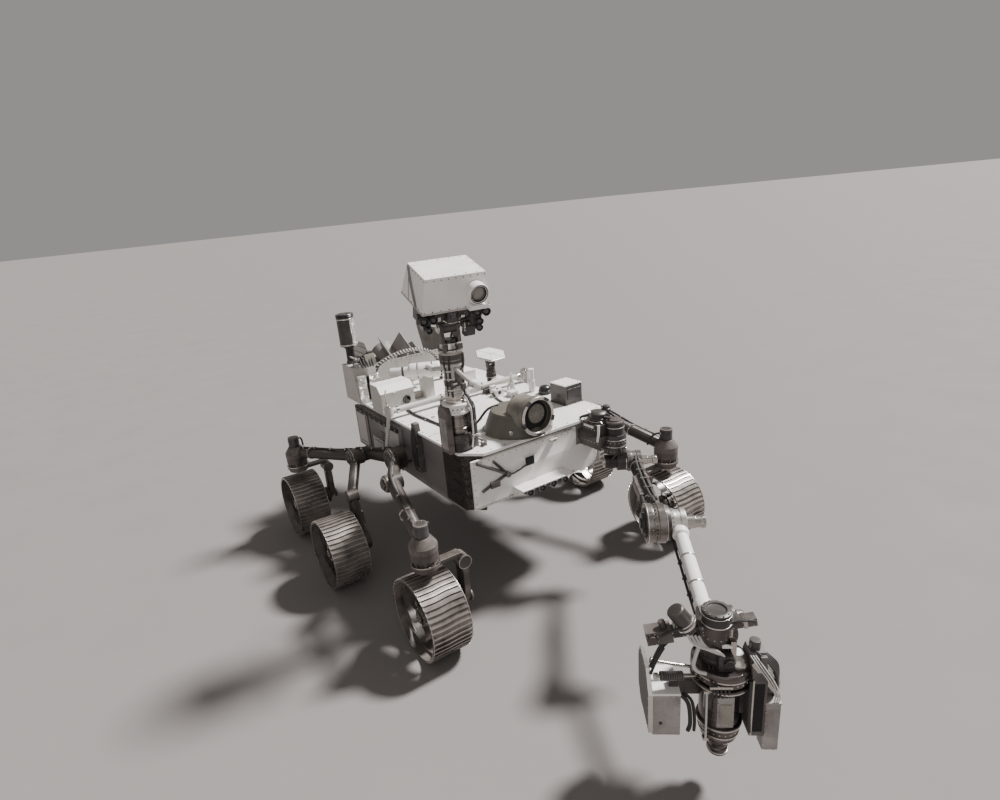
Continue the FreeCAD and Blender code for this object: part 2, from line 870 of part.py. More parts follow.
deck = padded("xy", [
    (-deck_side, -deck_front + v.deck_corner), (-deck_side + v.deck_corner, -deck_front),
    (deck_side - v.deck_corner, -deck_front), (deck_side, -deck_front + v.deck_corner),
    (deck_side, deck_rear - v.deck_corner), (deck_side - v.deck_corner, deck_rear),
    (-deck_side + v.deck_corner, deck_rear), (-deck_side, deck_rear - v.deck_corner)],
    v.deck_thickness, False)
deck = cut(place(deck, (zero, zero, deck_floor)), group(*hoist_holes))
node("deck", deck)

# Differential bar across the deck, its hub, and the links down to the rockers.

bar_level = deck_top + v.differential_rise
hub_floor = bar_level - v.differential_hub_height / 2
bar_piece = fuse(
    drum(v.differential_radius, rocker_offset * 2,
         (-rocker_offset, v.differential_reach, bar_level), "x"),
    drum(v.differential_hub_radius, v.differential_hub_height, (zero, v.differential_reach, hub_floor)),
    drum(v.differential_hub_radius / 2, hub_floor - deck_top, (zero, v.differential_reach, deck_top)),
    drum(v.differential_pad_radius, v.differential_pad_radius * 2,
         (-rocker_offset, v.differential_reach, bar_level - v.differential_pad_radius)),
    drum(v.differential_pad_radius, v.differential_pad_radius * 2,
         (rocker_offset, v.differential_reach, bar_level - v.differential_pad_radius)))
node("differential_bar", bar_piece)

tail_share = (v.differential_reach + v.rocker_pivot_reach) / (v.bogie_pivot_reach + v.rocker_pivot_reach)
link_foot = (
    rocker_middle[0] + (rocker_tail[0] - rocker_middle[0]) * tail_share,
    v.differential_reach,
    rocker_middle[2] + (rocker_tail[2] - rocker_middle[2]) * tail_share)
link_right = cut(rod(v.differential_link_radius,
                     (-rocker_offset, v.differential_reach, bar_level), link_foot),
                 bar_piece, rocker_shape)
node("differential_link_right", link_right)
node("differential_link_left", mirrored(link_right))

# Front panel with a rounded lobe on its left, camera visor, truss, corner skirt
# and the bit carousel.

panel_floor = v.chassis_belly + v.panel_rise
panel_top = v.chassis_top - v.deck_thickness
face = -v.chassis_front
lobe_level = panel_floor + v.lobe_radius
panel_middle = face - v.panel_thickness / 2
panel_sheet = fuse(
    padded("xz", [
        (-v.panel_right_end, panel_floor), (v.panel_left_end, panel_floor),
        (v.panel_left_end, lobe_level + v.lobe_radius), (v.panel_shoulder, lobe_level + v.lobe_radius),
        (v.panel_shoulder, panel_top), (-v.panel_right_end, panel_top)], v.panel_thickness),
    drum(v.lobe_radius, v.panel_thickness, (v.panel_left_end, -v.panel_thickness / 2, lobe_level), "y"),
    block((v.patch_width, v.panel_thickness, v.patch_height),
          (-v.patch_offset, -v.panel_thickness * 0.75, v.chassis_belly + v.patch_rise)))
front_panel = place(group(panel_sheet), (zero, panel_middle, zero))

truss_level = panel_middle - v.panel_thickness / 2 - v.truss_radius * 0.6
truss_foot = (-v.truss_foot_offset, truss_level, panel_floor + v.truss_foot_rise)
truss = cut(fuse(
    rod(v.truss_radius, truss_foot, (-v.truss_left_offset, truss_level, panel_floor + v.truss_left_rise)),
    rod(v.truss_radius, truss_foot, (-v.truss_right_offset, truss_level, panel_floor + v.truss_right_rise)),
    rod(v.truss_radius, truss_foot, (-v.truss_low_offset, truss_level, panel_floor + v.truss_low_rise)),
    block((v.patch_width, v.truss_radius * 2, v.patch_height * 0.7),
          (-(v.truss_foot_offset + v.truss_low_offset) / 2, truss_level, panel_floor + v.truss_low_rise)),
    drum(v.truss_radius * 2, v.truss_radius * 3,
         (truss_foot[0], truss_level - v.truss_radius * 2, truss_foot[2]), "y")), front_panel)
node("front_truss", truss)

visor_level = v.chassis_belly + v.visor_rise
visor_plate = block((v.visor_width, v.visor_depth * 2, v.visor_thickness),
                    (v.visor_offset, -v.chassis_front, visor_level))
lens_reach = v.chassis_front + v.visor_depth - v.lens_length * 1.1
lenses = [drum(v.lens_radius, v.lens_length,
               (v.visor_offset + v.lens_spacing * (i - 1.5), -lens_reach - v.lens_length,
                visor_level - v.lens_radius * 0.9), "y") for i in range(4)]
node("camera_visor", cut(fuse(visor_plate, *lenses), chassis, front_panel))

skirt_floor = v.chassis_top - v.skirt_height
bevel_sheet = group(block((bevel_width + v.skirt_thickness, v.skirt_thickness * 2, v.skirt_height),
                          (zero, zero, zero)))
place(bevel_sheet, (v.corner_bevel / 2 - half, face + v.corner_bevel / 2, skirt_floor), turned("z", -45))
skirt = fuse(bevel_sheet, block((v.skirt_thickness * 2, v.skirt_length, v.skirt_height),
                                (-half, face + v.corner_bevel + v.skirt_length / 2 - v.skirt_thickness,
                                 skirt_floor)))
node("corner_skirt", cut(skirt, chassis, front_panel))

port_reach = v.carousel_radius * 0.82
carousel_reach = v.chassis_front - v.carousel_setback
carousel = fuse(
    cone(v.carousel_radius, v.carousel_top_radius, v.carousel_height,
         (-v.carousel_offset, -carousel_reach, deck_top)),
    drum(v.carousel_port_radius, v.carousel_port_length * 2,
         (-v.carousel_offset, -carousel_reach - port_reach - v.carousel_port_length,
          deck_top + v.carousel_port_rise), "y"))
port_bore = drum(v.carousel_port_bore, v.carousel_port_length + v.overrun,
                 (-v.carousel_offset, -carousel_reach - port_reach - v.carousel_port_length - v.overrun,
                  deck_top + v.carousel_port_rise), "y")
node("bit_carousel", cut(carousel, port_bore))

# Mast on the right front corner of the deck: base, tube with sensor booms,
# panning neck, and the tilting head with its camera bar.

mast_place = (v.mast_inset - half, v.mast_setback - v.chassis_front, deck_top)
ring_level = v.mast_foot_height + v.mast_drum_height
base_height = ring_level + v.mast_ring_height + v.mast_neck_height
plate_span = v.mast_base_radius + v.mast_plate_gap + v.mast_plate_thickness / 2
mast_base = fuse(
    drum(v.mast_foot_radius, v.mast_foot_height, (zero, zero, zero)),
    drum(v.mast_base_radius, v.mast_drum_height, (zero, zero, v.mast_foot_height)),
    drum(v.mast_ring_radius, v.mast_ring_height, (zero, zero, ring_level)),
    drum(v.mast_base_radius, v.mast_neck_height, (zero, zero, ring_level + v.mast_ring_height)),
    block((v.mast_plate_thickness, v.mast_plate_depth, v.mast_plate_height), (-plate_span, zero, zero)),
    block((v.mast_plate_thickness, v.mast_plate_depth, v.mast_plate_height), (plate_span, zero, zero)))
node("mast_base", mast_base, mast_place)

tube_height = v.mast_tube_length
mast_top = deck_top + base_height + tube_height
booms = []
for turn_share in (-1, 1):
    angle = v.boom_middle_angle + v.boom_half_angle * turn_share
    direction = (sine(angle), -cosine(angle))
    reach = v.boom_length
    tip = (direction[0] * reach, direction[1] * reach, v.boom_start_rise - v.boom_drop)
    booms.append(rod(v.boom_radius, (zero, zero, v.boom_start_rise), tip))
    booms.append(rod(v.boom_pod_radius, tip, (
        tip[0] + direction[0] * v.boom_pod_length, tip[1] + direction[1] * v.boom_pod_length, tip[2])))
mast_tube = fuse(
    drum(v.mast_tube_radius, tube_height, (zero, zero, zero)),
    drum(v.mast_band_radius, v.mast_band_height, (zero, zero, tube_height - v.mast_band_height)),
    *booms)
node("mast_tube", mast_tube, (mast_place[0], mast_place[1], deck_top + base_height))

pan = turned("z", -v.head_pan_angle)
neck_floor = mast_top + v.running_gap
tilt_rise = v.tilt_rise - v.running_gap
collar_level = v.neck_height
ear_span = v.neck_ear_gap / 2 + v.neck_ear_thickness / 2
ears = []
for sign in (-1, 1):
    ears.append(padded("yz", [
        (-v.tilt_pin_radius * 1.3, collar_level), (v.tilt_pin_radius * 1.3, collar_level),
        (v.tilt_pin_radius, tilt_rise), (v.tilt_pin_radius / 2, tilt_rise + v.tilt_pin_radius),
        (-v.tilt_pin_radius / 2, tilt_rise + v.tilt_pin_radius), (-v.tilt_pin_radius, tilt_rise)],
        v.neck_ear_thickness))
    place(ears[-1], (ear_span * sign, zero, zero))
neck = fuse(
    drum(v.neck_radius, v.neck_height, (zero, zero, zero)),
    drum(v.neck_collar_radius, v.neck_height + v.neck_collar_height / 2, (zero, zero, zero)),
    *ears)
node("mast_neck", neck, (mast_place[0], mast_place[1], neck_floor), pan)

aim = turned("z", -v.head_pan_angle).multiply(turned("x", v.head_tilt_angle))
tilt_place = (mast_place[0], mast_place[1], mast_top + v.tilt_rise)
pin_length = v.neck_ear_gap - v.running_gap * 2
bar_body = fuse(
    block((v.bar_width, v.bar_depth, v.bar_height), (zero, zero, v.bar_floor)),
    drum(v.tilt_pin_radius, pin_length, (-pin_length / 2, zero, zero), "x"),
    block((pin_length, v.tilt_pin_radius * 1.4, v.bar_floor + v.overrun), (zero, zero, zero)))
cameras = []
for sign in (-1, 1):
    for side in (-1, 1):
        cameras.append(drum(
            v.camera_radius, v.camera_length,
            (v.camera_spread * sign + v.camera_spacing / 2 * side, -v.bar_depth / 2 - v.camera_length,
             v.bar_floor + v.bar_height / 2), "y"))
node("camera_bar", fuse(bar_body, *cameras), tilt_place, aim)


def tapered(width, depth, height, top_width, top_depth, foot):
    """Box that narrows evenly to its top, centred over a point."""
    thing = doc.addObject("Part::Wedge", "tapered")
    spans = {"Xmin": -width / 2, "Xmax": width / 2, "X2min": -top_width / 2, "X2max": top_width / 2,
             "Zmin": -depth / 2, "Zmax": depth / 2, "Z2min": -top_depth / 2, "Z2max": top_depth / 2,
             "Ymin": zero, "Ymax": height}
    for field in ("Xmin", "Ymin", "Zmin", "X2min", "Z2min"):
        setattr(thing, field, float(spans[field]))
    for field in ("Xmax", "Ymax", "Zmax", "X2max", "Z2max"):
        setattr(thing, field, float(spans[field]))
    for field, number in spans.items():
        thing.setExpression(field, formula(number))
    return place(thing, foot, turned("x", 90))


head_box = tapered(v.head_width, v.head_depth, v.head_height, v.head_top_width, v.head_top_depth,
                   (zero, v.head_setback, v.head_floor))
window_level = v.head_floor + v.window_rise
window_front = v.head_depth / 2 - v.head_setback + v.window_length
window_tube = drum(v.window_radius, v.window_length * 2, (v.window_offset, -window_front, window_level), "y")
window_bore = drum(v.window_bore, v.window_length + v.overrun,
                   (v.window_offset, -window_front - v.overrun, window_level), "y")
head_stem = block((v.neck_ear_gap, v.bar_depth / 2, v.head_floor - v.bar_floor - v.bar_height),
                  (zero, zero, v.bar_floor + v.bar_height))
node("mast_head", fuse(cut(fuse(head_box, window_tube), window_bore), head_stem), tilt_place, aim)

# Steerable antenna: base, turning yoke and flat six-sided dish.

dish_place = (v.dish_offset, v.dish_reach, deck_top)
node("antenna_base", drum(v.dish_base_radius, v.dish_base_height, (zero, zero, zero)), dish_place)
dish_ears = []
for sign in (-1, 1):
    dish_ears.append(block(
        (v.dish_ear_thickness, v.dish_stage_radius, v.dish_axis_rise - v.dish_stage_height
         + v.dish_neck_radius),
        ((v.dish_ear_gap + v.dish_ear_thickness) / 2 * sign, zero, v.dish_stage_height)))
yoke = fuse(drum(v.dish_stage_radius, v.dish_stage_height, (zero, zero, zero)), *dish_ears)
yoke_place = (v.dish_offset, v.dish_reach, deck_top + v.dish_base_height + v.running_gap)
node("antenna_yoke", yoke, yoke_place)
dish_axis = (v.dish_offset, v.dish_reach, yoke_place[2] + v.dish_axis_rise)
dish_pin = v.dish_ear_gap - v.running_gap * 2
dish = fuse(
    drum(v.dish_neck_radius, dish_pin, (-dish_pin / 2, zero, zero), "x"),
    drum(v.dish_neck_radius * 0.7, v.dish_neck_length, (zero, zero, zero)),
    prism(v.dish_radius * 0.87, v.dish_thickness, (zero, zero, v.dish_neck_length), 6))
node("antenna_dish", dish, dish_axis, turned("x", v.dish_lean_angle))

# Relay antenna can on its rack.

relay_offset = half - v.relay_inset
relay_reach = v.chassis_rear - v.relay_setback
rack_place = (-relay_offset, relay_reach - v.rack_length / 3, deck_top)
rack = padded("yz", [
    (-v.rack_length / 2, zero), (v.rack_length / 2, zero), (v.rack_length / 2, v.rack_height),
    (-v.rack_length / 2 + v.rack_taper, v.rack_height)], v.rack_width)
node("rear_rack", rack, (rack_place[0] + v.rack_width / 2 - v.relay_radius, rack_place[1], deck_top))
relay_floor = deck_top + v.rack_height
relay = fuse(
    drum(v.relay_stem_radius, v.relay_stem_height, (zero, zero, zero)),
    drum(v.relay_radius, v.relay_height, (zero, zero, v.relay_stem_height)),
    drum(v.relay_radius * 1.06, v.relay_cap_height, (zero, zero, v.relay_stem_height + v.relay_height)))
node("relay_antenna", relay, (-relay_offset, relay_reach, relay_floor))

# Units on the deck.

deck_box = padded("yz", [
    (-v.box_length / 2, zero), (v.box_length / 2, zero), (v.box_length / 2, v.box_height),
    (-v.box_length / 2 + v.box_slope, v.box_height), (-v.box_length / 2, v.box_height - v.box_slope)],
    v.box_width)
box_hole = drum(v.box_hole_radius, v.box_slope, (v.box_width / 4, -v.box_length / 2 - v.overrun,
                                                 v.box_height / 3), "y")
node("deck_box", cut(deck_box, box_hole), (v.box_inset - half, v.box_reach, deck_top))

canister_turn = turned("z", v.canister_turn_angle).multiply(ALONG["y"])
canister = fuse(
    drum(v.canister_radius, v.canister_length, (zero, zero, zero)),
    drum(v.canister_neck_radius, v.canister_neck_length, (zero, zero, v.canister_length)))
canister.Placement = FreeCAD.Placement(FreeCAD.Vector(0, 0, 0), canister_turn)
canister_level = deck_top + v.canister_rise
canister_leg_reach = v.canister_length / 2
legs = cut(block((v.canister_foot, v.canister_foot, v.canister_rise),
                 (-canister_leg_reach * sine(v.canister_turn_angle),
                  canister_leg_reach * cosine(v.canister_turn_angle), -v.canister_rise)), canister)
node("deck_canister", canister, (-v.canister_offset, v.canister_reach, canister_level))
node("canister_foot", legs, (-v.canister_offset, v.canister_reach, canister_level))

rear_unit = block((v.unit_width, v.unit_length, v.unit_height), (v.unit_offset, v.unit_reach, deck_top))
front_unit = block((v.front_unit_width, v.front_unit_length, v.front_unit_height),
                   (v.front_unit_offset, -v.front_unit_reach, deck_top))
dome = drum(v.dome_radius, v.dome_height, (v.dome_offset, -v.dome_reach, deck_top))
node("deck_units", group(rear_unit, front_unit, dome))
low_gain = fuse(
    drum(v.low_gain_radius, v.low_gain_height / 2, (zero, zero, zero)),
    cone(v.low_gain_radius * 0.6, v.low_gain_radius * 0.9, v.low_gain_height, (zero, zero, zero)))
node("low_gain_antenna", low_gain, (v.low_gain_offset, v.low_gain_reach, deck_top))

# Power source: a leaning finned generator at the rear between two upright
# plates.

lean = turned("x", 90 - float(v.generator_lean_angle)).inverted()
fins = []
for i in range(int(float(v.generator_fins) / 2)):
    fin = group(block((v.generator_fin_thickness, v.generator_fin_radius * 2, v.generator_length),
                      (zero, zero, v.generator_fin_start)))
    fin_angle = 360 / float(v.generator_fins) * (i + 0.5)
    fin.Placement = FreeCAD.Placement(FreeCAD.Vector(), turned("z", fin_angle))
    fins.append(fin)
generator = fuse(
    drum(v.generator_radius, v.generator_fin_start + v.generator_length + v.generator_cap_length,
         (zero, zero, zero)),
    *fins)
generator_level = v.chassis_top - v.generator_drop
generator_reach = v.chassis_rear + v.generator_standoff
generator_place = (zero, generator_reach, generator_level)
node("power_source", generator, generator_place, lean)
seated_generator = place(group(generator), generator_place, lean)
node("power_mount", cut(
    drum(v.generator_mount_radius, v.generator_standoff + v.generator_radius,
         (zero, v.chassis_rear, generator_level), "y"), seated_generator))

side_plate = padded("yz", [
    (zero, zero), (v.plate_length * 0.7, v.plate_height * 0.25), (v.plate_length, v.plate_height),
    (v.plate_length * 0.25, v.plate_height), (zero, v.plate_height * 0.7)], v.plate_thickness)
plates_floor = v.chassis_top - v.plate_drop
place(side_plate, (-v.plate_half_span, v.chassis_rear, plates_floor))
cross_plate = block((v.plate_half_span * 2, v.plate_thickness, v.plate_height * 0.5),
                    (zero, v.chassis_rear + v.plate_thickness / 2, plates_floor + v.plate_height * 0.2))
plates = cut(fuse(side_plate, mirrored(side_plate), cross_plate), deck)
node("power_plates", plates)

# Equipment panels on the chassis sides.

side_floor = v.chassis_belly + v.side_panel_rise
side_sheet = block((v.side_panel_thickness, v.side_panel_length, v.side_panel_height),
                   (-half - v.side_panel_thickness / 2, -v.side_panel_reach, side_floor))
slots = []
for i in range(int(float(v.grille_slots))):
    slots.append(block(
        (v.side_panel_thickness, v.grille_length, v.grille_slot_height),
        (-half - v.side_panel_thickness, -v.grille_reach,
         side_floor + v.grille_rise + v.grille_slot_height * 2 * i)))
strut = block((v.strut_thickness, v.strut_width, v.side_panel_height),
              (-half - v.strut_thickness / 2, -v.strut_reach, side_floor))
side_right = fuse(cut(side_sheet, *slots), strut)
node("side_panels_right", side_right)
node("side_panels_left", mirrored(side_right))

conduit_floor = v.chassis_belly + v.conduit_rise
conduit_top = conduit_floor + v.conduit_height
conduit = padded("yz", [
    (-v.conduit_reach - v.conduit_width / 2, conduit_floor),
    (-v.conduit_reach + v.conduit_width / 2, conduit_floor),
    (-v.conduit_reach + v.conduit_width / 2, conduit_top - v.conduit_taper),
    (-v.conduit_reach + v.conduit_width / 4, conduit_top),
    (-v.conduit_reach - v.conduit_width / 4, conduit_top),
    (-v.conduit_reach - v.conduit_width / 2, conduit_top - v.conduit_taper)], v.conduit_thickness)
node("side_conduit", cut(place(conduit, (-half - v.conduit_thickness / 2, zero, zero)), deck))

# Arm, in the pose it is parked in. Each link is drawn about its own pivot with
# the next pivot along -Y.

swing = turned("z", -v.arm_swing_angle)
upper_turn = turned("z", -v.arm_swing_angle).multiply(turned("x", v.upper_arm_angle))
fore_turn = turned("z", -v.arm_swing_angle).multiply(turned("x", v.forearm_angle))


def onward(start, length, drop):
    """Next pivot along the arm from the last one."""
    level = length * cosine(drop)
    return (start[0] - level * sine(v.arm_swing_angle), start[1] - level * cosine(v.arm_swing_angle),
            start[2] - length * sine(drop))


def spool(radius, low, high, reach=zero):
    """Drum across the arm between two side places."""
    return drum(radius, high - low, (low, -reach, zero), "x")


gap = v.running_gap
shoulder = (v.shoulder_offset, -v.chassis_front - v.shoulder_standoff, v.chassis_top - v.shoulder_drop)
elbow = onward(shoulder, v.upper_arm_length, v.upper_arm_angle)
wrist = onward(elbow, v.forearm_length, v.forearm_angle)

housing_floor = shoulder[2] + v.azimuth_gap + v.azimuth_height + gap
bracket_reach = v.shoulder_standoff
block_top = housing_floor + v.housing_height
bracket = fuse(
    drum(v.azimuth_radius, v.housing_height, (shoulder[0], shoulder[1], housing_floor)),
    drum(v.housing_cap_radius, v.housing_cap_height, (shoulder[0], shoulder[1], block_top)),
    block((v.bracket_width, bracket_reach, v.housing_height),
          (shoulder[0] - v.bracket_shift, shoulder[1] + bracket_reach / 2, housing_floor)),
    block((v.bracket_width, v.bracket_top_length, v.bracket_top_height),
          (shoulder[0] - v.bracket_shift,
           -v.chassis_front - v.deck_overhang - v.bracket_overhang_gap - v.bracket_top_length / 2,
           block_top)),
    drum(v.post_radius, v.post_height,
         (shoulder[0] - v.bracket_shift + v.bracket_width / 3, shoulder[1] + v.post_offset,
          block_top + v.bracket_top_height)))
node("shoulder_bracket", bracket)
node("front_panel", cut(front_panel, bracket))

azimuth_stage = fuse(
    drum(v.azimuth_radius, v.azimuth_height, (zero, zero, v.azimuth_gap)),
    block((v.shoulder_fork_end - v.shoulder_fork_start, v.shoulder_fork_radius * 1.6,
           v.azimuth_gap + v.overrun),
          ((v.shoulder_fork_end + v.shoulder_fork_start) / 2, zero, zero)),
    spool(v.shoulder_fork_radius, v.shoulder_fork_start, v.shoulder_fork_end),
    spool(v.shoulder_motor_radius, v.shoulder_motor_start, v.shoulder_fork_start))
node("shoulder_stage", azimuth_stage, shoulder, swing)

band_start = v.elbow_drum_end - v.elbow_band_length
upper_arm = fuse(
    spool(v.shoulder_drum_radius, v.shoulder_fork_end + gap, v.shoulder_drum_end),
    spool(v.shoulder_shaft_radius, v.shoulder_drum_end, v.shoulder_shaft_end),
    rod(v.upper_tube_radius, (v.upper_plane, zero, zero), (v.upper_plane, -v.upper_arm_length, zero)),
    block((v.cable_box_thickness, v.cable_box_length, v.cable_box_width),
          (v.upper_plane - v.upper_tube_radius, -v.cable_box_start - v.cable_box_length / 2,
           -v.cable_box_width / 2)),
    spool(v.elbow_drum_radius, v.elbow_drum_start, band_start, v.upper_arm_length),
    spool(v.elbow_band_radius, band_start, v.elbow_drum_end, v.upper_arm_length))
node("upper_arm", upper_arm, shoulder, upper_turn)

forearm = fuse(
    spool(v.elbow_knuckle_radius, v.elbow_drum_end + gap, v.elbow_knuckle_end),
    spool(v.elbow_shaft_radius, v.elbow_knuckle_end, v.elbow_shaft_end),
    rod(v.fore_tube_radius, (v.fore_plane, zero, zero), (v.fore_plane, -v.forearm_length, zero)),
    spool(v.wrist_knuckle_radius, v.wrist_fork_start, v.wrist_fork_end, v.forearm_length))
node("forearm", forearm, elbow, fore_turn)

drive_end = v.turret_drive_start + v.turret_drive_length
wrist_piece = fuse(
    spool(v.wrist_drum_radius, v.wrist_fork_end + gap, v.wrist_drum_end),
    spool(v.wrist_shaft_radius, v.wrist_drum_end, v.wrist_shaft_end),
    block((v.wrist_drum_end - v.turret_plane, v.turret_drive_start + v.wrist_shaft_radius,
           v.wrist_drum_radius * 1.2),
          ((v.wrist_drum_end + v.turret_plane) / 2, v.wrist_shaft_radius / 2 - v.turret_drive_start / 2,
           -v.wrist_drum_radius * 0.6)),
    drum(v.turret_drive_radius, v.turret_drive_length, (v.turret_plane, -drive_end, zero), "y"))
fork_room = spool(v.wrist_knuckle_radius + v.turn_clearance, v.wrist_fork_start - v.overrun,
                  v.wrist_fork_end + gap)
node("wrist", cut(wrist_piece, fork_room), wrist, swing)

# Turret on the wrist's front face: hub, coring drill, instrument boxes and
# crossbar.

hub_start = drive_end + gap
hub = drum(v.turret_hub_radius, v.turret_hub_length,
           (v.turret_plane, -hub_start - v.turret_hub_length, zero), "y")
drill_at = (v.turret_plane, -hub_start - v.drill_reach)
drill_low = -v.drill_top - v.drill_height
groove_low = -v.drill_top - v.drill_collar_height - v.drill_collar_groove
drill_body = fuse(
    drum(v.drill_radius, v.drill_height, (drill_at[0], drill_at[1], drill_low)),
    drum(v.drill_collar_radius, v.drill_collar_height,
         (drill_at[0], drill_at[1], -v.drill_top - v.drill_collar_height)),
    drum(v.drill_ring_radius, v.drill_collar_groove, (drill_at[0], drill_at[1], groove_low)),
    drum(v.drill_collar_radius, v.drill_ring_height,
         (drill_at[0], drill_at[1], groove_low - v.drill_ring_height)),
    drum(v.drill_ring_radius, v.drill_ring_height,
         (drill_at[0], drill_at[1], drill_low + v.drill_height * v.drill_rim_share)),
    cone(v.drill_nose_radius, v.drill_radius * 0.9, v.drill_nose_length / 2,
         (drill_at[0], drill_at[1], drill_low - v.drill_nose_length / 2)),
    drum(v.drill_nose_radius, v.drill_nose_length,
         (drill_at[0], drill_at[1], drill_low - v.drill_nose_length)),
    drum(v.drill_neck_radius, v.drill_neck_height,
         (drill_at[0] - v.drill_neck_shift, drill_at[1], -v.drill_top)),
    drum(v.drill_cap_radius, v.drill_cap_height,
         (drill_at[0] - v.drill_neck_shift, drill_at[1], v.drill_neck_height - v.drill_top)))
chuck = drum(v.chuck_bore / 2, v.chuck_depth + v.overrun,
             (drill_at[0], drill_at[1], drill_low - v.drill_nose_length - v.overrun))
node("turret_drill", cut(drill_body, chuck), wrist, swing)
node("turret_hub", cut(hub, drill_body), wrist, swing)

arm_level = -hub_start - v.turret_hub_length - v.box_arm_width / 2
arm_floor = -v.left_box_drop - v.left_box_height / 2
left_middle = drill_at[0] - v.left_box_offset
plate_at = left_middle - v.left_box_width / 2 - v.left_plate_thickness / 2
left_box = cut(fuse(
    block((v.left_box_width, v.left_box_depth, v.left_box_height),
          (left_middle, drill_at[1], -v.left_box_drop - v.left_box_height)),
    block((v.left_plate_thickness, v.left_plate_depth, v.left_plate_height),
          (plate_at, drill_at[1] + (v.left_plate_depth - v.left_box_depth) / 2,
           -v.left_plate_drop - v.left_plate_height)),
    block((v.left_box_offset, v.box_arm_width, v.box_arm_height),
          (drill_at[0] - v.left_box_offset / 2, arm_level, arm_floor))), drill_body)
node("turret_box_left", left_box, wrist, swing)

frame_middle = drill_at[0] + v.right_frame_offset
right_middle = drill_at[0] + v.right_plate_offset
right_box = cut(fuse(
    block((v.right_frame_width, v.right_frame_depth, v.right_frame_height),
          (frame_middle, drill_at[1] - v.right_frame_depth / 4, v.right_frame_rise - v.right_frame_height)),
    block((v.right_plate_width, v.right_plate_depth, v.right_plate_height),
          (right_middle, drill_at[1] - v.right_frame_depth / 2, -v.right_plate_drop - v.right_plate_height)),
    block((v.right_frame_offset, v.box_arm_width, v.box_arm_height),
          (drill_at[0] + v.right_frame_offset / 2, arm_level, arm_floor))), drill_body)
node("turret_box_right", right_box, wrist, swing)

lean = turned("y", -v.crossbar_lean_angle)
bar_block = block((v.crossbar_length, v.crossbar_depth, v.crossbar_height),
                  (zero, zero, -v.crossbar_height / 2))
motor = block((v.motor_length, v.motor_depth, v.motor_width),
              (-v.crossbar_length / 2, zero, -v.motor_width / 2))
spare = rod(v.spare_radius, (-v.spare_offset, zero, zero),
            (-v.spare_offset - v.spare_length * sine(v.spare_lean_angle), zero,
             v.spare_length * cosine(v.spare_lean_angle)))
bar_pair = fuse(bar_block, motor, spare)
bar_pair.Placement = FreeCAD.Placement(FreeCAD.Vector(), lean)
crossbar = place(group(bar_pair), (drill_at[0] - v.crossbar_offset, drill_at[1], v.crossbar_rise))
node("turret_crossbar", cut(crossbar, drill_body), wrist, swing)

# Checks, the shift that puts the origin under the middle of the whole, and
# the files.

doc.recompute()
for thing in doc.Objects:
    if "Invalid" in thing.State or "Error" in thing.State:
        raise RuntimeError("%s failed: %s" % (thing.Name, thing.State))
os.makedirs("parts", exist_ok=True)
whole = FreeCAD.BoundBox()
for name, thing in nodes.items():
    if thing.Shape.isNull() or not thing.Shape.isValid():
        raise RuntimeError("%s has no valid shape" % name)
    whole.add(thing.Shape.BoundBox)
shift = FreeCAD.Vector(-whole.Center.x, -whole.Center.y, -whole.ZMin)
for name, thing in nodes.items():
    shape = thing.Shape.copy()
    shape.translate(shift)
    shape.exportStep("parts/%s.step" % name)
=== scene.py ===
import bmesh
import bpy
import json
import math
from mathutils import Matrix, Vector


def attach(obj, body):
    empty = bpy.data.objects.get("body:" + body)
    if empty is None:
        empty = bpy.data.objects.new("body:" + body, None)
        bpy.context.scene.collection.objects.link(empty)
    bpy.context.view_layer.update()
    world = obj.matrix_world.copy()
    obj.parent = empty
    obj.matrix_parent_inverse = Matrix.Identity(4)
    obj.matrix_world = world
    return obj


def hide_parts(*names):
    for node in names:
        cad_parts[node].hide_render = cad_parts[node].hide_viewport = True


# Planetary rover. Forms are drawn in millimetres, in the maker's frame: it faces
# -Y, its right side is -X, heights count from the ground and lengths along Y
# from the middle wheels' axle. Each arm link is drawn about its own pivot.

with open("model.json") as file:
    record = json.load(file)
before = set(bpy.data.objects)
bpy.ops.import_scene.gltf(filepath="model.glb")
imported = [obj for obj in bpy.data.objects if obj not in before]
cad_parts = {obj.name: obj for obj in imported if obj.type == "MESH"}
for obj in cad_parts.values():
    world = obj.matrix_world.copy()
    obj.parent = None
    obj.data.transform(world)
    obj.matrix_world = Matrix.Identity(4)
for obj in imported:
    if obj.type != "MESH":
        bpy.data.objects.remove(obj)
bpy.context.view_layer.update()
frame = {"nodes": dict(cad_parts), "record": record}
scene = bpy.context.scene
JOINTS = {joint["name"]: Vector(joint["pos_m"]) for joint in frame["record"]["behaviour"]["joints"]}
BODY_OF = {node: body for body, nodes in frame["record"]["behaviour"]["bodies"].items() for node in nodes}
AXLE = JOINTS["roll_middle_right"].y
MILLIMETRES = Matrix.Scale(0.001, 4)
SHARP = math.radians(34)
SIDES = (("right", -1), ("left", 1))
UP, LEFT, RIGHT, FRONT, BACK = (0, 0, 1), (1, 0, 0), (-1, 0, 0), (0, -1, 0), (0, 1, 0)
DECK_TOP = 1108
TURRET = (210, -220.3)


def turn(axis, angle):
    return Matrix.Rotation(math.radians(angle), 4, axis)


def polar(radius, angle):
    return radius * math.cos(math.radians(angle)), radius * math.sin(math.radians(angle))


def about(pivot, *turns):
    """Frame in millimetres whose origin is a pivot given in metres."""
    made = Matrix.Translation(pivot)
    for one in turns:
        made = made @ one
    return made @ MILLIMETRES


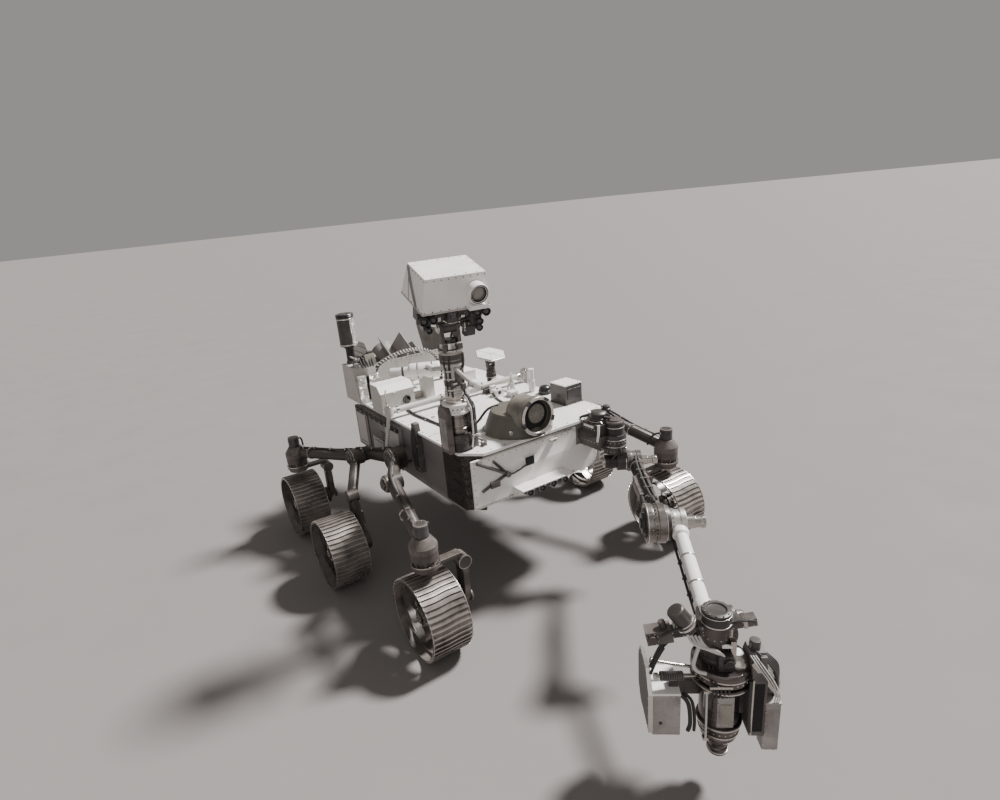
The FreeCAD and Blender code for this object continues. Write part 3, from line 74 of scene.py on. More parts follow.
GROUND = about((0, AXLE, 0))
MAST = about(GROUND @ Vector((-552, -785, DECK_TOP)))
NECK = about(JOINTS["mast_pan"], turn("Z", -7.7))
HEAD = about(JOINTS["mast_tilt"], turn("Z", -7.7), turn("X", 18))
YOKE = about(JOINTS["antenna_pan"])
DISH = about(JOINTS["antenna_tilt"], turn("X", 12))
SWING = about(JOINTS["arm_shoulder"], turn("Z", -38))
UPPER = about(JOINTS["arm_shoulder"], turn("Z", -38), turn("X", -1.4))
FORE = about(JOINTS["arm_elbow"], turn("Z", -38), turn("X", 14.5))
WRIST = about(JOINTS["arm_wrist"], turn("Z", -38))


def place_camera():
    """The photograph's view, from a fit of the wheels, mast and deck."""
    yaw, pitch, roll = (math.radians(angle) for angle in (-30.206, -18.743, -5.919))
    ahead = Vector((-math.sin(yaw) * math.cos(pitch), math.cos(yaw) * math.cos(pitch), math.sin(pitch)))
    side = Vector((math.cos(yaw), math.sin(yaw), 0))
    over = side.cross(ahead)
    right = side * math.cos(roll) + over * math.sin(roll)
    top = over * math.cos(roll) - side * math.sin(roll)
    data = bpy.data.cameras.new("camera")
    data.sensor_width, data.lens = 36, 36 * 0.59986
    data.shift_x, data.shift_y = 0.03781, 0.01167
    scene.camera = put("camera", data)
    scene.camera.matrix_world = (Matrix.Translation((-2.3226, AXLE - 3.8952, 2.5668))
        @ Matrix((right, top, -ahead)).transposed().to_4x4())


def put(name, data):
    """Puts an object with its data into the scene."""
    made = bpy.data.objects.new(name, data)
    scene.collection.objects.link(made)
    return made


place_camera()


def open_output(node):
    return next(one for one in node.outputs if one.enabled)


class Nodes:
    """Adds linked nodes to a shader or geometry tree."""

    def __init__(self, tree):
        self.tree = tree

    def add(self, kind, *given, settings=(), **named):
        node = self.tree.nodes.new(kind)
        for field, value in dict(settings).items():
            setattr(node, field, value)
        open_sockets = [socket for socket in node.inputs if socket.enabled]
        pairs = list(zip(open_sockets, given))
        for name, value in named.items():
            pairs.append((next(one for one in open_sockets if one.name == name.replace("_", " ")), value))
        for socket, value in pairs:
            if isinstance(value, bpy.types.Node):
                value = open_output(value)
            if isinstance(value, bpy.types.NodeSocket):
                self.tree.links.new(value, socket)
            elif value is not None:
                socket.default_value = value
        return node

    def math(self, what, *given):
        return self.add("ShaderNodeMath", *given, settings={"operation": what})

    def noise(self, place, scale, detail, **named):
        return self.add("ShaderNodeTexNoise", place, Scale=scale, Detail=detail, **named)

    def span(self, value, *span):
        """Maps one span of a value to another."""
        return self.add("ShaderNodeMapRange", value, *span)

    def blend(self, share, one, other):
        return self.add("ShaderNodeMix", share, settings={"data_type": "RGBA"}, A=one, B=other)

    def feed(self, shader, **sources):
        for name, node in sources.items():
            self.tree.links.new(open_output(node), shader.inputs[name.replace("_", " ")])


# Finishes.

FINISH = {}
DUST = (0.36, 0.29, 0.24, 1)


def tint(colour, strength=1.0):
    return (*[min(part * strength, 1) for part in colour], 1)


def start_finish(name, slot, rough, metal=0.0, coat=0.0):
    """New finish and the nodes that every finish has: shader and place on the object."""
    made = bpy.data.materials.new(name)
    made.use_nodes = True
    nodes = Nodes(made.node_tree)
    shader = made.node_tree.nodes["Principled BSDF"]
    for label, value in (("Roughness", rough), ("Metallic", metal), ("Coat Weight", coat)):
        shader.inputs[label].default_value = value
    FINISH[name] = (made, slot)
    return nodes, shader, nodes.add("ShaderNodeTexCoord").outputs["Object"]


def coating(name, slot, colour, rough, *, mottle, metal=0.0, patch=7.0, specks=0.3, relief=0.25, dust=0.0,
        brushed=None, wear_and_edge_highlight=None):
    """Paint or metal with cloudy tone, specks, fine relief, edges lightened as rubbed bare paint and as
    painted edge highlights, and settled dust.
    """
    nodes, shader, place = start_finish(name, slot, rough, metal)
    if brushed:
        place = nodes.add("ShaderNodeMapping", place, Scale=brushed).outputs[0]
    cloud = nodes.noise(place, patch, 9.0, Roughness=0.62)
    tone = nodes.add("ShaderNodeValToRGB", cloud.outputs["Fac"])
    low, high = tone.color_ramp.elements
    low.position, high.position = 0.3, 0.72
    low.color, high.color = tint(colour, 1 - mottle), tint(colour, 1 + mottle * 0.4)
    fine = nodes.noise(place, patch * 26, 4.0, Roughness=0.7)
    shade = nodes.blend(nodes.span(fine.outputs["Fac"], 0.6, 0.74, 0.0, specks), tone, tint(colour, 0.35))
    # Convex edges take a lighter colour: partly rubbed bare paint, partly a painted highlight along the
    # edges.
    if wear_and_edge_highlight:
        edge = nodes.add("ShaderNodeNewGeometry").outputs["Pointiness"]
        chips_and_edge_highlight = nodes.math("MULTIPLY", nodes.span(edge, 0.515, 0.6, 0.0, 1.0),
            nodes.span(cloud.outputs["Fac"], 0.36, 0.6, 0.2, 1.0))
        shade = nodes.blend(chips_and_edge_highlight, shade, tint(wear_and_edge_highlight))
    if dust:
        level = nodes.add("ShaderNodeSeparateXYZ", nodes.add("ShaderNodeNewGeometry").outputs["Normal"])
        settled = nodes.math("MULTIPLY", nodes.span(level.outputs["Z"], 0.2, 1.0, 0.0, dust),
            nodes.span(cloud.outputs["Fac"], 0.3, 0.7, 0.35, 1.0))
        shade = nodes.blend(settled, shade, DUST)
    gloss = nodes.span(cloud.outputs["Fac"], 0.25, 0.75, max(rough - 0.1, 0.05), rough + 0.12)
    bump = nodes.add("ShaderNodeBump", Strength=relief, Distance=0.0015, Height=fine.outputs["Fac"])
    nodes.feed(shader, Base_Color=shade, Roughness=gloss, Normal=bump)


def foil(name, slot, colour, rough, fold=26.0):
    """Crumpled metallised blanket: broad creases with fine ones between them."""
    nodes, shader, place = start_finish(name, slot, rough, 0.85)
    warp = nodes.noise(place, fold * 0.4, 3.0)
    bent = nodes.add("ShaderNodeVectorMath", place, warp.outputs["Color"], settings={"operation": "ADD"})
    creases = nodes.add("ShaderNodeTexVoronoi", bent, Scale=fold, settings={"feature": "DISTANCE_TO_EDGE"})
    fine = nodes.add("ShaderNodeTexVoronoi", place, Scale=fold * 3.1, settings={"feature": "F1"})
    height = nodes.math("ADD", nodes.math("MULTIPLY", creases, 1.4), nodes.math("MULTIPLY", fine, 0.5))
    tone = nodes.add("ShaderNodeValToRGB", warp.outputs["Fac"])
    low, high = tone.color_ramp.elements
    low.color, high.color = tint(colour, 0.6), tint(colour)
    bump = nodes.add("ShaderNodeBump", Strength=0.9, Distance=0.006, Height=height)
    nodes.feed(shader, Base_Color=tone, Normal=bump)


def sleeve(name, slot, colour, other, rough):
    """Braided sleeve of a harness: slanting bands of two tones with relief."""
    nodes, shader, place = start_finish(name, slot, rough)
    braid = nodes.add("ShaderNodeTexWave", place, Scale=150.0, Distortion=1.2, Detail=2.0,
        settings={"wave_type": "BANDS", "bands_direction": "DIAGONAL"})
    tone = nodes.blend(braid.outputs["Fac"], tint(colour), tint(other))
    bump = nodes.add("ShaderNodeBump", Strength=0.5, Distance=0.001, Height=braid.outputs["Fac"])
    nodes.feed(shader, Base_Color=tone, Normal=bump)


def lens_glass(name, slot, colour, film_colour):
    """Coated front element: dark glass under a faintly uneven film."""
    nodes, shader, place = start_finish(name, slot, 0.06, coat=1.0)
    film = nodes.noise(place, 40.0, 2.0)
    tone = nodes.blend(nodes.math("MULTIPLY", film.outputs["Fac"], 0.4), tint(colour), tint(film_colour))
    bump = nodes.add("ShaderNodeBump", Strength=0.03, Distance=0.0005, Height=film.outputs["Fac"])
    nodes.feed(shader, Base_Color=tone, Normal=bump)


coating("white paint", "white_paint", (0.84, 0.81, 0.78), 0.42, mottle=0.1, specks=0.12, dust=0.1,
    relief=0.12)
coating("deck paint", "white_paint", (0.84, 0.82, 0.79), 0.5, mottle=0.12, specks=0.1, dust=0.16, relief=0.15)
coating("grey paint", "grey_paint", (0.17, 0.152, 0.143), 0.5, mottle=0.2, dust=0.12, wear_and_edge_highlight=(0.45, 0.42, 0.4))
coating("pale paint", "white_paint", (0.5, 0.47, 0.44), 0.45, mottle=0.16, dust=0.1)
coating("slate paint", "grey_paint", (0.045, 0.039, 0.037), 0.5, mottle=0.22, dust=0.08,
    wear_and_edge_highlight=(0.2, 0.18, 0.17))
coating("olive plate", "grey_paint", (0.085, 0.078, 0.062), 0.42, mottle=0.22, dust=0.18,
    wear_and_edge_highlight=(0.4, 0.37, 0.32))
coating("dark coating", "dark_coating", (0.026, 0.021, 0.02), 0.4, mottle=0.3, dust=0.1,
    wear_and_edge_highlight=(0.16, 0.14, 0.13))
coating("brown coating", "dark_coating", (0.06, 0.047, 0.044), 0.45, metal=0.2, mottle=0.3, dust=0.14,
    wear_and_edge_highlight=(0.25, 0.22, 0.2))
coating("leg tube", "dark_tube", (0.055, 0.047, 0.043), 0.4, metal=0.35, mottle=0.3, dust=0.22,
    wear_and_edge_highlight=(0.22, 0.19, 0.17))
coating("bare metal", "bare_metal", (0.58, 0.54, 0.5), 0.24, metal=1.0, mottle=0.2, relief=0.1,
    brushed=(1, 1, 9), specks=0.15)
coating("bright ring", "bare_metal", (0.72, 0.68, 0.64), 0.3, metal=0.9, mottle=0.15, relief=0.1, specks=0.1)
coating("barrel metal", "bare_metal", (0.15, 0.13, 0.125), 0.24, metal=0.85, mottle=0.35, relief=0.12,
    brushed=(1, 1, 14), specks=0.3)
coating("brushed drum", "bare_metal", (0.3, 0.27, 0.25), 0.28, metal=0.9, mottle=0.3, relief=0.2,
    brushed=(1, 1, 14), specks=0.3)
coating("wheel skin", "wheel_metal", (0.055, 0.047, 0.044), 0.45, metal=0.4, mottle=0.32, patch=5.0,
    dust=0.16, wear_and_edge_highlight=(0.25, 0.22, 0.2))
coating("lug metal", "wheel_metal", (0.34, 0.3, 0.285), 0.3, metal=0.75, mottle=0.3, patch=5.0, dust=0.2,
    wear_and_edge_highlight=(0.5, 0.46, 0.43))
coating("flexure metal", "bare_metal", (0.22, 0.2, 0.185), 0.35, metal=0.8, mottle=0.2, dust=0.1)
coating("shroud paint", "shroud_paint", (0.12, 0.11, 0.095), 0.5, mottle=0.25, dust=0.14,
    wear_and_edge_highlight=(0.35, 0.32, 0.3))
coating("black housing", "black_instrument", (0.012, 0.011, 0.011), 0.3, mottle=0.3, specks=0.2, dust=0.05,
    wear_and_edge_highlight=(0.09, 0.08, 0.08))
# Near-black finish laid flat in holes, slots and gaps: painted shade standing for the dark inside of
# recesses.
coating("painted recess shade", "black_instrument", (0.004, 0.004, 0.004), 0.8, mottle=0.3)
foil("silver blanket", "bare_metal", (0.78, 0.74, 0.7), 0.24)
foil("dark blanket", "dark_coating", (0.1, 0.085, 0.078), 0.3, fold=20.0)
sleeve("black sleeve", "black_instrument", (0.012, 0.011, 0.01), (0.05, 0.045, 0.042), 0.55)
sleeve("white sleeve", "white_paint", (0.72, 0.69, 0.66), (0.5, 0.47, 0.45), 0.45)
sleeve("grey sleeve", "grey_paint", (0.2, 0.18, 0.165), (0.1, 0.09, 0.08), 0.5)
lens_glass("lens glass", "black_instrument", (0.008, 0.008, 0.009), (0.05, 0.05, 0.06))
lens_glass("window glass", "black_instrument", (0.16, 0.15, 0.125), (0.3, 0.28, 0.25))


# Making of pieces.

def plain(piece):
    """Turns a piece with modifiers into a plain mesh."""
    graph = bpy.context.evaluated_depsgraph_get()
    mesh = bpy.data.meshes.new_from_object(piece.evaluated_get(graph), preserve_all_data_layers=True,
        depsgraph=graph)
    piece.modifiers.clear()
    piece.data = mesh


def coat(mesh, finishes=()):
    """Gives a mesh its finishes, and smooth faces between sharp edges."""
    for name in finishes:
        mesh.materials.append(FINISH[name][0])
    mesh.shade_smooth()
    mesh.set_sharp_from_angle(angle=SHARP)


def soften(piece, edge):
    """Rounds the edges of a piece by a width in millimetres."""
    bevel = piece.modifiers.new("soft edges", "BEVEL")
    bevel.width = edge / 1000
    bevel.segments = 2
    bevel.limit_method = "ANGLE"
    bevel.angle_limit = math.radians(38)
    bevel.harden_normals = True
    bevel.miter_outer = "MITER_ARC"
    plain(piece)


def settle(piece, body, nodes=()):
    """Puts a finished piece on its body, in place of the nodes that it stands for."""
    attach(piece, body)
    if nodes:
        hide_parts(*nodes)


def across(axis, a, b, height):
    """Point from two places on a flat shape and the height along the axis that it faces."""
    return {"x": (height, a, b), "y": (a, height, b), "z": (a, b, height)}[axis]


def mirrored(points, sign):
    return [(x * sign, y, z) for x, y, z in points]


def box_outline(a, b, c, d):
    """Corners of a box from one corner to the opposite one."""
    return [(a, b), (c, b), (c, d), (a, d)]


class Bench:
    """Gathers the forms of one piece in millimetres, each in the finish that is set."""

    def __init__(self, name, finish, body="chassis", at=GROUND):
        self.name, self.body, self.at = name, body, at
        self.mesh = bmesh.new()
        self.finishes = []
        self.finish = finish

    def of(self, finish):
        """Sets the finish of the forms that follow."""
        self.finish = finish
        return self

    def keep(self, points, faces):
        """Adds a form's corners and faces."""
        if self.finish not in self.finishes:
            self.finishes.append(self.finish)
        corners = [self.mesh.verts.new(self.at @ Vector(point)) for point in points]
        made = [self.mesh.faces.new([corners[i] for i in face]) for face in faces]
        for one in made:
            one.material_index = self.finishes.index(self.finish)
        bmesh.ops.recalc_face_normals(self.mesh, faces=made)

    def block(self, size, middle, tilt=Matrix.Identity(4)):
        """Block about its middle, turned by a tilt."""
        signs = [(x, y, z) for x in (-0.5, 0.5) for y in (-0.5, 0.5) for z in (-0.5, 0.5)]
        points = [Vector(middle) + tilt @ Vector([part * length for part, length in zip(sign, size)])
            for sign in signs]
        self.keep(points, [(0, 1, 3, 2), (4, 6, 7, 5), (0, 4, 5, 1), (2, 3, 7, 6), (0, 2, 6, 4),
            (1, 5, 7, 3)])

    def blocks(self, size, *middles):
        for middle in middles:
            self.block(size, middle)

    def slab(self, corners, low, high, axis="x"):
        """Flat shape pulled from low to high along an axis."""
        points = [across(axis, a, b, height) for height in (low, high) for a, b in corners]
        count = len(corners)
        self.keep(points, [tuple(range(count)), tuple(range(count, count * 2))]
            + [(i, (i + 1) % count, (i + 1) % count + count, i + count) for i in range(count)])

    def lathe(self, profile, start=(0, 0, 0), along=UP, sides=32):
        """Turned form from (radius, height) steps, measured from a point along a direction."""
        axis, side, other = around(along)
        points, rings = [], []
        for radius, height in profile:
            middle = Vector(start) + axis * height
            count = sides if radius > 0 else 1
            rings.append(list(range(len(points), len(points) + count)))
            for i in range(count):
                angle = 2 * math.pi * i / sides
                points.append(middle + (side * math.cos(angle) + other * math.sin(angle)) * radius)
        faces = []
        for low, high in zip(rings, rings[1:]):
            for i in range(sides):
                j = (i + 1) % sides
                ring = [low[i % len(low)], low[j % len(low)], high[j % len(high)], high[i % len(high)]]
                face = tuple(dict.fromkeys(ring))
                if len(face) > 2:
                    faces.append(face)
        faces += [tuple(ring) for ring in (rings[0], rings[-1]) if len(ring) > 1]
        self.keep(points, faces)

    def drum(self, radius, start, end, sides, lip=2.0):
        """Drum with a chamfered lip at both ends."""
        run = Vector(end) - Vector(start)
        self.lathe([(radius - lip, 0), (radius, lip), (radius, run.length - lip), (radius - lip, run.length)],
            start, run, sides)

    def band(self, radius, bore, start, end, sides=32):
        """Ring with a bore."""
        run = Vector(end) - Vector(start)
        axis, side, other = around(run)
        loop = [(bore, 0), (bore, run.length), (radius, run.length), (radius, 0)]
        points = []
        for i in range(sides):
            angle = 2 * math.pi * i / sides
            away = side * math.cos(angle) + other * math.sin(angle)
            points += [Vector(start) + axis * height + away * reach for reach, height in loop]
        self.keep(points, [(i * 4 + j, i * 4 + (j + 1) % 4, (i + 1) % sides * 4 + (j + 1) % 4,
            (i + 1) % sides * 4 + j) for i in range(sides) for j in range(4)])

    def collar(self, radius, bore, low, high, sides=32):
        """Ring about the upright axis of the piece."""
        self.band(radius, bore, (0, 0, low), (0, 0, high), sides)

    def pipe(self, points, radius, sides=10, steps=6, flat=1.0):
        """Fixed pipe or clamped harness on a smooth path through its points."""
        path = smooth(points, steps)
        rings, corners, side = [], [], None
        for i, middle in enumerate(path):
            ahead = (path[min(i + 1, len(path) - 1)] - path[max(i - 1, 0)]).normalized()
            side = (side - ahead * side.dot(ahead)).normalized() if side else ahead.orthogonal().normalized()
            other = ahead.cross(side)
            rings.append(range(len(corners), len(corners) + sides))
            corners += [middle + side * math.cos(2 * math.pi * k / sides) * radius
                + other * math.sin(2 * math.pi * k / sides) * radius * flat for k in range(sides)]
        faces = [tuple(rings[0]), tuple(rings[-1])]
        for low, high in zip(rings, rings[1:]):
            faces += [(low[k], low[(k + 1) % sides], high[(k + 1) % sides], high[k]) for k in range(sides)]
        self.keep(corners, faces)

    def barrel(self, radius, start, length):
        """Camera barrel that faces front, with a stepped hood and its glass."""
        hood = [(radius * wide, length * high) for wide,
            high in ((0.9, 0), (1, 2 / length), (1, 0.55), (0.86, 0.6), (0.86, 0.72), (1.02, 0.76), (1.02, 1),
            (0.82, 1), (0.7, 0.8))]
        glass = [(radius * wide, radius * high) for wide,
            high in ((0.72, 0), (0.6, 0.16), (0.3, 0.27), (0, 0.3))]
        self.of("black housing").lathe(hood, start, FRONT, 28)
        self.of("lens glass").lathe(glass, Vector(start) + Vector(FRONT) * length * 0.79, FRONT, 28)

    def form(self):
        """The gathered forms as a mesh in their finishes."""
        mesh = bpy.data.meshes.new(self.name)
        self.mesh.to_mesh(mesh)
        self.mesh.free()
        coat(mesh, self.finishes)
        return mesh

    def done(self, edge=0.0, *nodes):
        """Hands the piece over, with its edges softened by a width in millimetres."""
        piece = put(self.name, self.form())
        if edge:
            soften(piece, edge)
        settle(piece, self.body, nodes)


def around(along):
    """Unit vector along a direction, and two across it."""
    axis = Vector(along).normalized()
    side = axis.orthogonal().normalized()
    return axis, side, axis.cross(side)


def smooth(points, steps):
    """Points on a curve through the given ones."""
    given = [Vector(point) for point in points]
    if len(given) < 3:
        return given
    path = []
    for i in range(len(given) - 1):
        a, b, c, d = given[max(i - 1, 0)], given[i], given[i + 1], given[min(i + 2, len(given) - 1)]
        for k in range(steps):
            t = k / steps
            path.append(0.5 * (2 * b + (c - a) * t + (2 * a - 5 * b + 4 * c - d) * t * t
                + (3 * b - a - 3 * c + d) * t ** 3))
    return path + [given[-1]]


def dress(node, finish, edge=2.0, zones=None):
    """The node's own form with soft edges, with the finish that a zone rule names for a face."""
    mesh = bpy.data.meshes.new(node + "_dressed")
    form = bmesh.new()
    form.from_mesh(frame["nodes"][node].data)
    bmesh.ops.remove_doubles(form, verts=form.verts, dist=2e-5)
    bmesh.ops.dissolve_limit(form, angle_limit=math.radians(1.5), verts=form.verts, edges=form.edges)
    finishes = [finish]
    back = GROUND.inverted()
    for face in form.faces:
        wanted = zones and zones(back @ face.calc_center_median(), face.normal)
        if wanted and wanted not in finishes:
            finishes.append(wanted)
        face.material_index = finishes.index(wanted) if wanted else 0
    form.to_mesh(mesh)
    form.free()
    coat(mesh, finishes)
    piece = put(node + "_dressed", mesh)
    soften(piece, edge)
    settle(piece, BODY_OF[node], (node,))


# Trees for what repeats.

def new_tree(name, *sizes):
    """Geometry tree with its named sizes; returns its nodes and its input node."""
    tree = bpy.data.node_groups.new(name, "GeometryNodeTree")
    tree.interface.new_socket("Geometry", in_out="INPUT", socket_type="NodeSocketGeometry")
    for label, value in sizes:
        kind = {int: "Int", float: "Float", tuple: "Vector"}[type(value)]
        tree.interface.new_socket(label, in_out="INPUT",
            socket_type="NodeSocket" + kind).default_value = value
    tree.interface.new_socket("Material", in_out="INPUT", socket_type="NodeSocketMaterial")
    tree.interface.new_socket("Geometry", in_out="OUTPUT", socket_type="NodeSocketGeometry")
    nodes = Nodes(tree)
    return nodes, nodes.add("NodeGroupInput").outputs


def end_tree(nodes, given, geometry):
    """Every tree ends with real geometry in its material."""
    real = nodes.add("GeometryNodeRealizeInstances", geometry)
    nodes.add("NodeGroupOutput", nodes.add("GeometryNodeSetMaterial", real, Material=given["Material"]))
    return nodes.tree


def set_around(nodes, given, count, axis, sweep, form):
    """Copies of a form, turned step by step about an axis through the origin."""
    step = nodes.math("DIVIDE", sweep, given[count])
    angle = nodes.math("MULTIPLY", nodes.add("GeometryNodeInputIndex"), step)
    spin = nodes.add("FunctionNodeAxisAngleToRotation", axis, angle)
    posts = nodes.add("GeometryNodePoints", given[count])
    return end_tree(nodes, given, nodes.add("GeometryNodeInstanceOnPoints", posts, Instance=form,
        Rotation=spin))


def screw_tree():
    """Screw heads on loose points, each as large as its 'size' and facing along its 'facing'."""
    nodes, given = new_tree("screw heads", ("Height", 0.62), ("Crown", 0.76), ("Sides", 8))
    head = nodes.add("GeometryNodeMeshCone", Vertices=given["Sides"], Radius_Top=given["Crown"],
        Radius_Bottom=1.0, Depth=given["Height"])
    facing = nodes.add("GeometryNodeInputNamedAttribute", "facing", settings={"data_type": "FLOAT_VECTOR"})
    size = nodes.add("GeometryNodeInputNamedAttribute", "size", settings={"data_type": "FLOAT"})
    aim = nodes.add("FunctionNodeAlignRotationToVector", Vector=facing, settings={"axis": "Z"})
    heads = nodes.add("GeometryNodeInstanceOnPoints", given["Geometry"], Instance=head.outputs["Mesh"],
        Rotation=aim, Scale=size)
    return end_tree(nodes, given, heads)


def round_tree():
    """Copies of the piece's own form around an axis through the origin."""
    nodes, given = new_tree("copies around", ("Copies", 6), ("Axis", (1.0, 0.0, 0.0)), ("Sweep", 2 * math.pi))
    return set_around(nodes, given, "Copies", given["Axis"], given["Sweep"], given["Geometry"])


def lug_tree():
    """Waved cross lugs around a wheel's skin, along X."""
    nodes, given = new_tree("wheel lugs", ("Lugs", 48), ("Radius", 0.2565), ("Width", 0.263),
        ("Height", 0.0115), ("Foot", 0.0085), ("Tip", 0.004), ("Wave", 0.0017))
    half = nodes.math("MULTIPLY", given["Width"], 0.5)
    start = nodes.add("ShaderNodeCombineXYZ", nodes.math("MULTIPLY", half, -1.0))
    line = nodes.add("GeometryNodeCurvePrimitiveLine", Start=start,
        End=nodes.add("ShaderNodeCombineXYZ", half))
    fine = nodes.add("GeometryNodeResampleCurve", line, Count=13)
    place = nodes.add("ShaderNodeSeparateXYZ", nodes.add("GeometryNodeInputPosition"))
    share = nodes.math("DIVIDE", place, half)
    bend = nodes.math("MULTIPLY", nodes.math("SINE", nodes.math("MULTIPLY", share, math.pi * 1.5)),
        given["Wave"])
    waved = nodes.add("GeometryNodeSetPosition", fine, Offset=nodes.add("ShaderNodeCombineXYZ", None, bend))
    section = nodes.add("GeometryNodeCurvePrimitiveQuadrilateral", settings={"mode": "TRAPEZOID"},
        Bottom_Width=given["Foot"], Top_Width=given["Tip"], Offset=0.0, Height=given["Height"])
    bar = nodes.add("GeometryNodeCurveToMesh", waved, Profile_Curve=section.outputs[0], Fill_Caps=True)
    raised = nodes.add("GeometryNodeTransform", bar,
        Translation=nodes.add("ShaderNodeCombineXYZ", None, None, given["Radius"]))
    return set_around(nodes, given, "Lugs", (1.0, 0.0, 0.0), 2 * math.pi, raised)


def link_tree():
    """Flat-sided links or round ribs set along the piece's own path."""
    nodes, given = new_tree("links along", ("Pitch", 0.02), ("Radius", 0.01), ("Sides", 4), ("Length", 0.008),
        ("Flatten", (1.0, 1.0, 1.0)))
    path = nodes.add("GeometryNodeMeshToCurve", given["Geometry"])
    posts = nodes.add("GeometryNodeCurveToPoints", path, settings={"mode": "LENGTH"}, Length=given["Pitch"])
    link = nodes.add("GeometryNodeMeshCylinder", Vertices=given["Sides"], Radius=given["Radius"],
        Depth=given["Length"])
    return end_tree(nodes, given, nodes.add("GeometryNodeInstanceOnPoints", posts.outputs["Points"],
        Instance=link.outputs["Mesh"], Rotation=posts.outputs["Rotation"], Scale=given["Flatten"]))


SCREWS, ROUND, LUGS, LINKS = screw_tree(), round_tree(), lug_tree(), link_tree()


def grow(piece, tree, finish, **sizes):
    """Runs a tree on a piece with its sizes set, and leaves a plain mesh."""
    modifier = piece.modifiers.new(tree.name, "NODES")
    modifier.node_group = tree
    wanted = {name.title(): value for name, value in sizes.items()}
    wanted["Material"] = FINISH[finish][0]
    for socket in tree.interface.items_tree:
        if socket.in_out == "INPUT" and socket.name in wanted:
            modifier[socket.identifier] = wanted[socket.name]
    plain(piece)
    coat(piece.data)


class Fasteners:
    """Screw heads of one body and finish, kept as loose points until they are made."""

    def __init__(self, name, finish="bare metal", body="chassis", at=GROUND):
        self.name, self.body, self.finish, self.at = name, body, finish, at
        self.points, self.facings, self.sizes = [], [], []

    def one(self, point, facing, size):
        self.points.append(self.at @ Vector(point))
        self.facings.append((self.at.to_3x3() @ Vector(facing)).normalized())
        self.sizes.append(size / 1000)

    def row(self, start, end, count, facing, size):
        for i in range(count):
            self.one(Vector(start).lerp(Vector(end), i / (count - 1)), facing, size)

    def ring(self, middle, axis, radius, count, size, facing=None):
        """Heads on a circle; facing 'out' turns them away from its middle."""
        normal, side, other = around(axis)
        for i in range(count):
            angle = 2 * math.pi * i / count
            away = side * math.cos(angle) + other * math.sin(angle)
            self.one(Vector(middle) + away * radius, away if facing == "out" else normal, size)

    def edge_of(self, corners, height, axis, pitch, facing, size):
        """Rows along a closed outline, about a pitch apart."""
        for (a, b), (c, d) in zip(corners, corners[1:] + corners[:1]):
            count = max(int(math.hypot(c - a, d - b) / pitch), 2)
            for i in range(count):
                share = (i + 0.5) / count
                self.one(across(axis, a + (c - a) * share, b + (d - b) * share, height), facing, size)

    def done(self, **sizes):
        mesh = bpy.data.meshes.new(self.name)
        mesh.from_pydata(self.points, [], [])
        facing = mesh.attributes.new("facing", "FLOAT_VECTOR", "POINT")
        facing.data.foreach_set("vector", [part for one in self.facings for part in one])
        mesh.attributes.new("size", "FLOAT", "POINT").data.foreach_set("value", self.sizes)
        piece = put(self.name, mesh)
        grow(piece, SCREWS, self.finish, **sizes)
        settle(piece, self.body)


def links(name, finish, points, body="chassis", at=GROUND, steps=8, **sizes):
    """Links or ribs along a smooth path."""
    path = [at @ point for point in smooth(points, steps)]
    mesh = bpy.data.meshes.new(name)
    mesh.from_pydata(path, [(i, i + 1) for i in range(len(path) - 1)], [])
    piece = put(name, mesh)
    grow(piece, LINKS, finish, **sizes)
    settle(piece, body)


# Wheels: thin skin with waved lugs, six curved flexures and a bolted hub, drawn
# about the axle with the outer face at -X.

RIM = 132.5


def flexure():
    """One curved strip from the hub to the skin, with its feet."""
    steps = ((54, 0), (104, -7), (158, 2), (203, 22), (228, 42), (247, 52))
    path = smooth([(*polar(reach, angle), 0) for reach, angle in steps], 5)
    left, right = [], []
    for i, point in enumerate(path):
        ahead = (path[min(i + 1, len(path) - 1)] - path[max(i - 1, 0)]).normalized()
        half = Vector((-ahead.y, ahead.x, 0)) * 2.4
        left.append((point + half).xy[:])
        right.append((point - half).xy[:])
    strip = Bench("flexure", "flexure metal", at=MILLIMETRES)
    strip.slab(left + right[::-1], -80, -16)
    strip.block((66, 5, 44), (-48, *polar(244, 52)), turn("X", 52))
    strip.block((66, 26, 16), (-48, 62, 0))
    return strip.form()


def wheel_skin():
    """Skin with its edge rings and inner ribs, and the hub."""
    skin = Bench("wheel skin", "wheel skin", at=MILLIMETRES)
    skin.band(252, 247, (-RIM, 0, 0), (RIM, 0, 0), 96)
    for inner, outer in ((-RIM, -129), (129, RIM)):
        skin.of("bright ring").band(256, 243, (inner, 0, 0), (outer, 0, 0), 96)
    for rib in (-70, 44):
        skin.of("wheel skin").band(248, 232, (rib, 0, 0), (rib + 5, 0, 0), 72)
    skin.of("leg tube").lathe([(0, -95), (30, -95), (34, -91), (34, -82), (52, -80.5), (60, -74), (60, -30),
        (55, -26), (55, 6), (60, 10), (60, 15.5), (0, 15.5)], along=LEFT, sides=36)
    skin.of("bare metal").band(46, 38, (-84, 0, 0), (-80, 0, 0), 36)
    return skin.form()


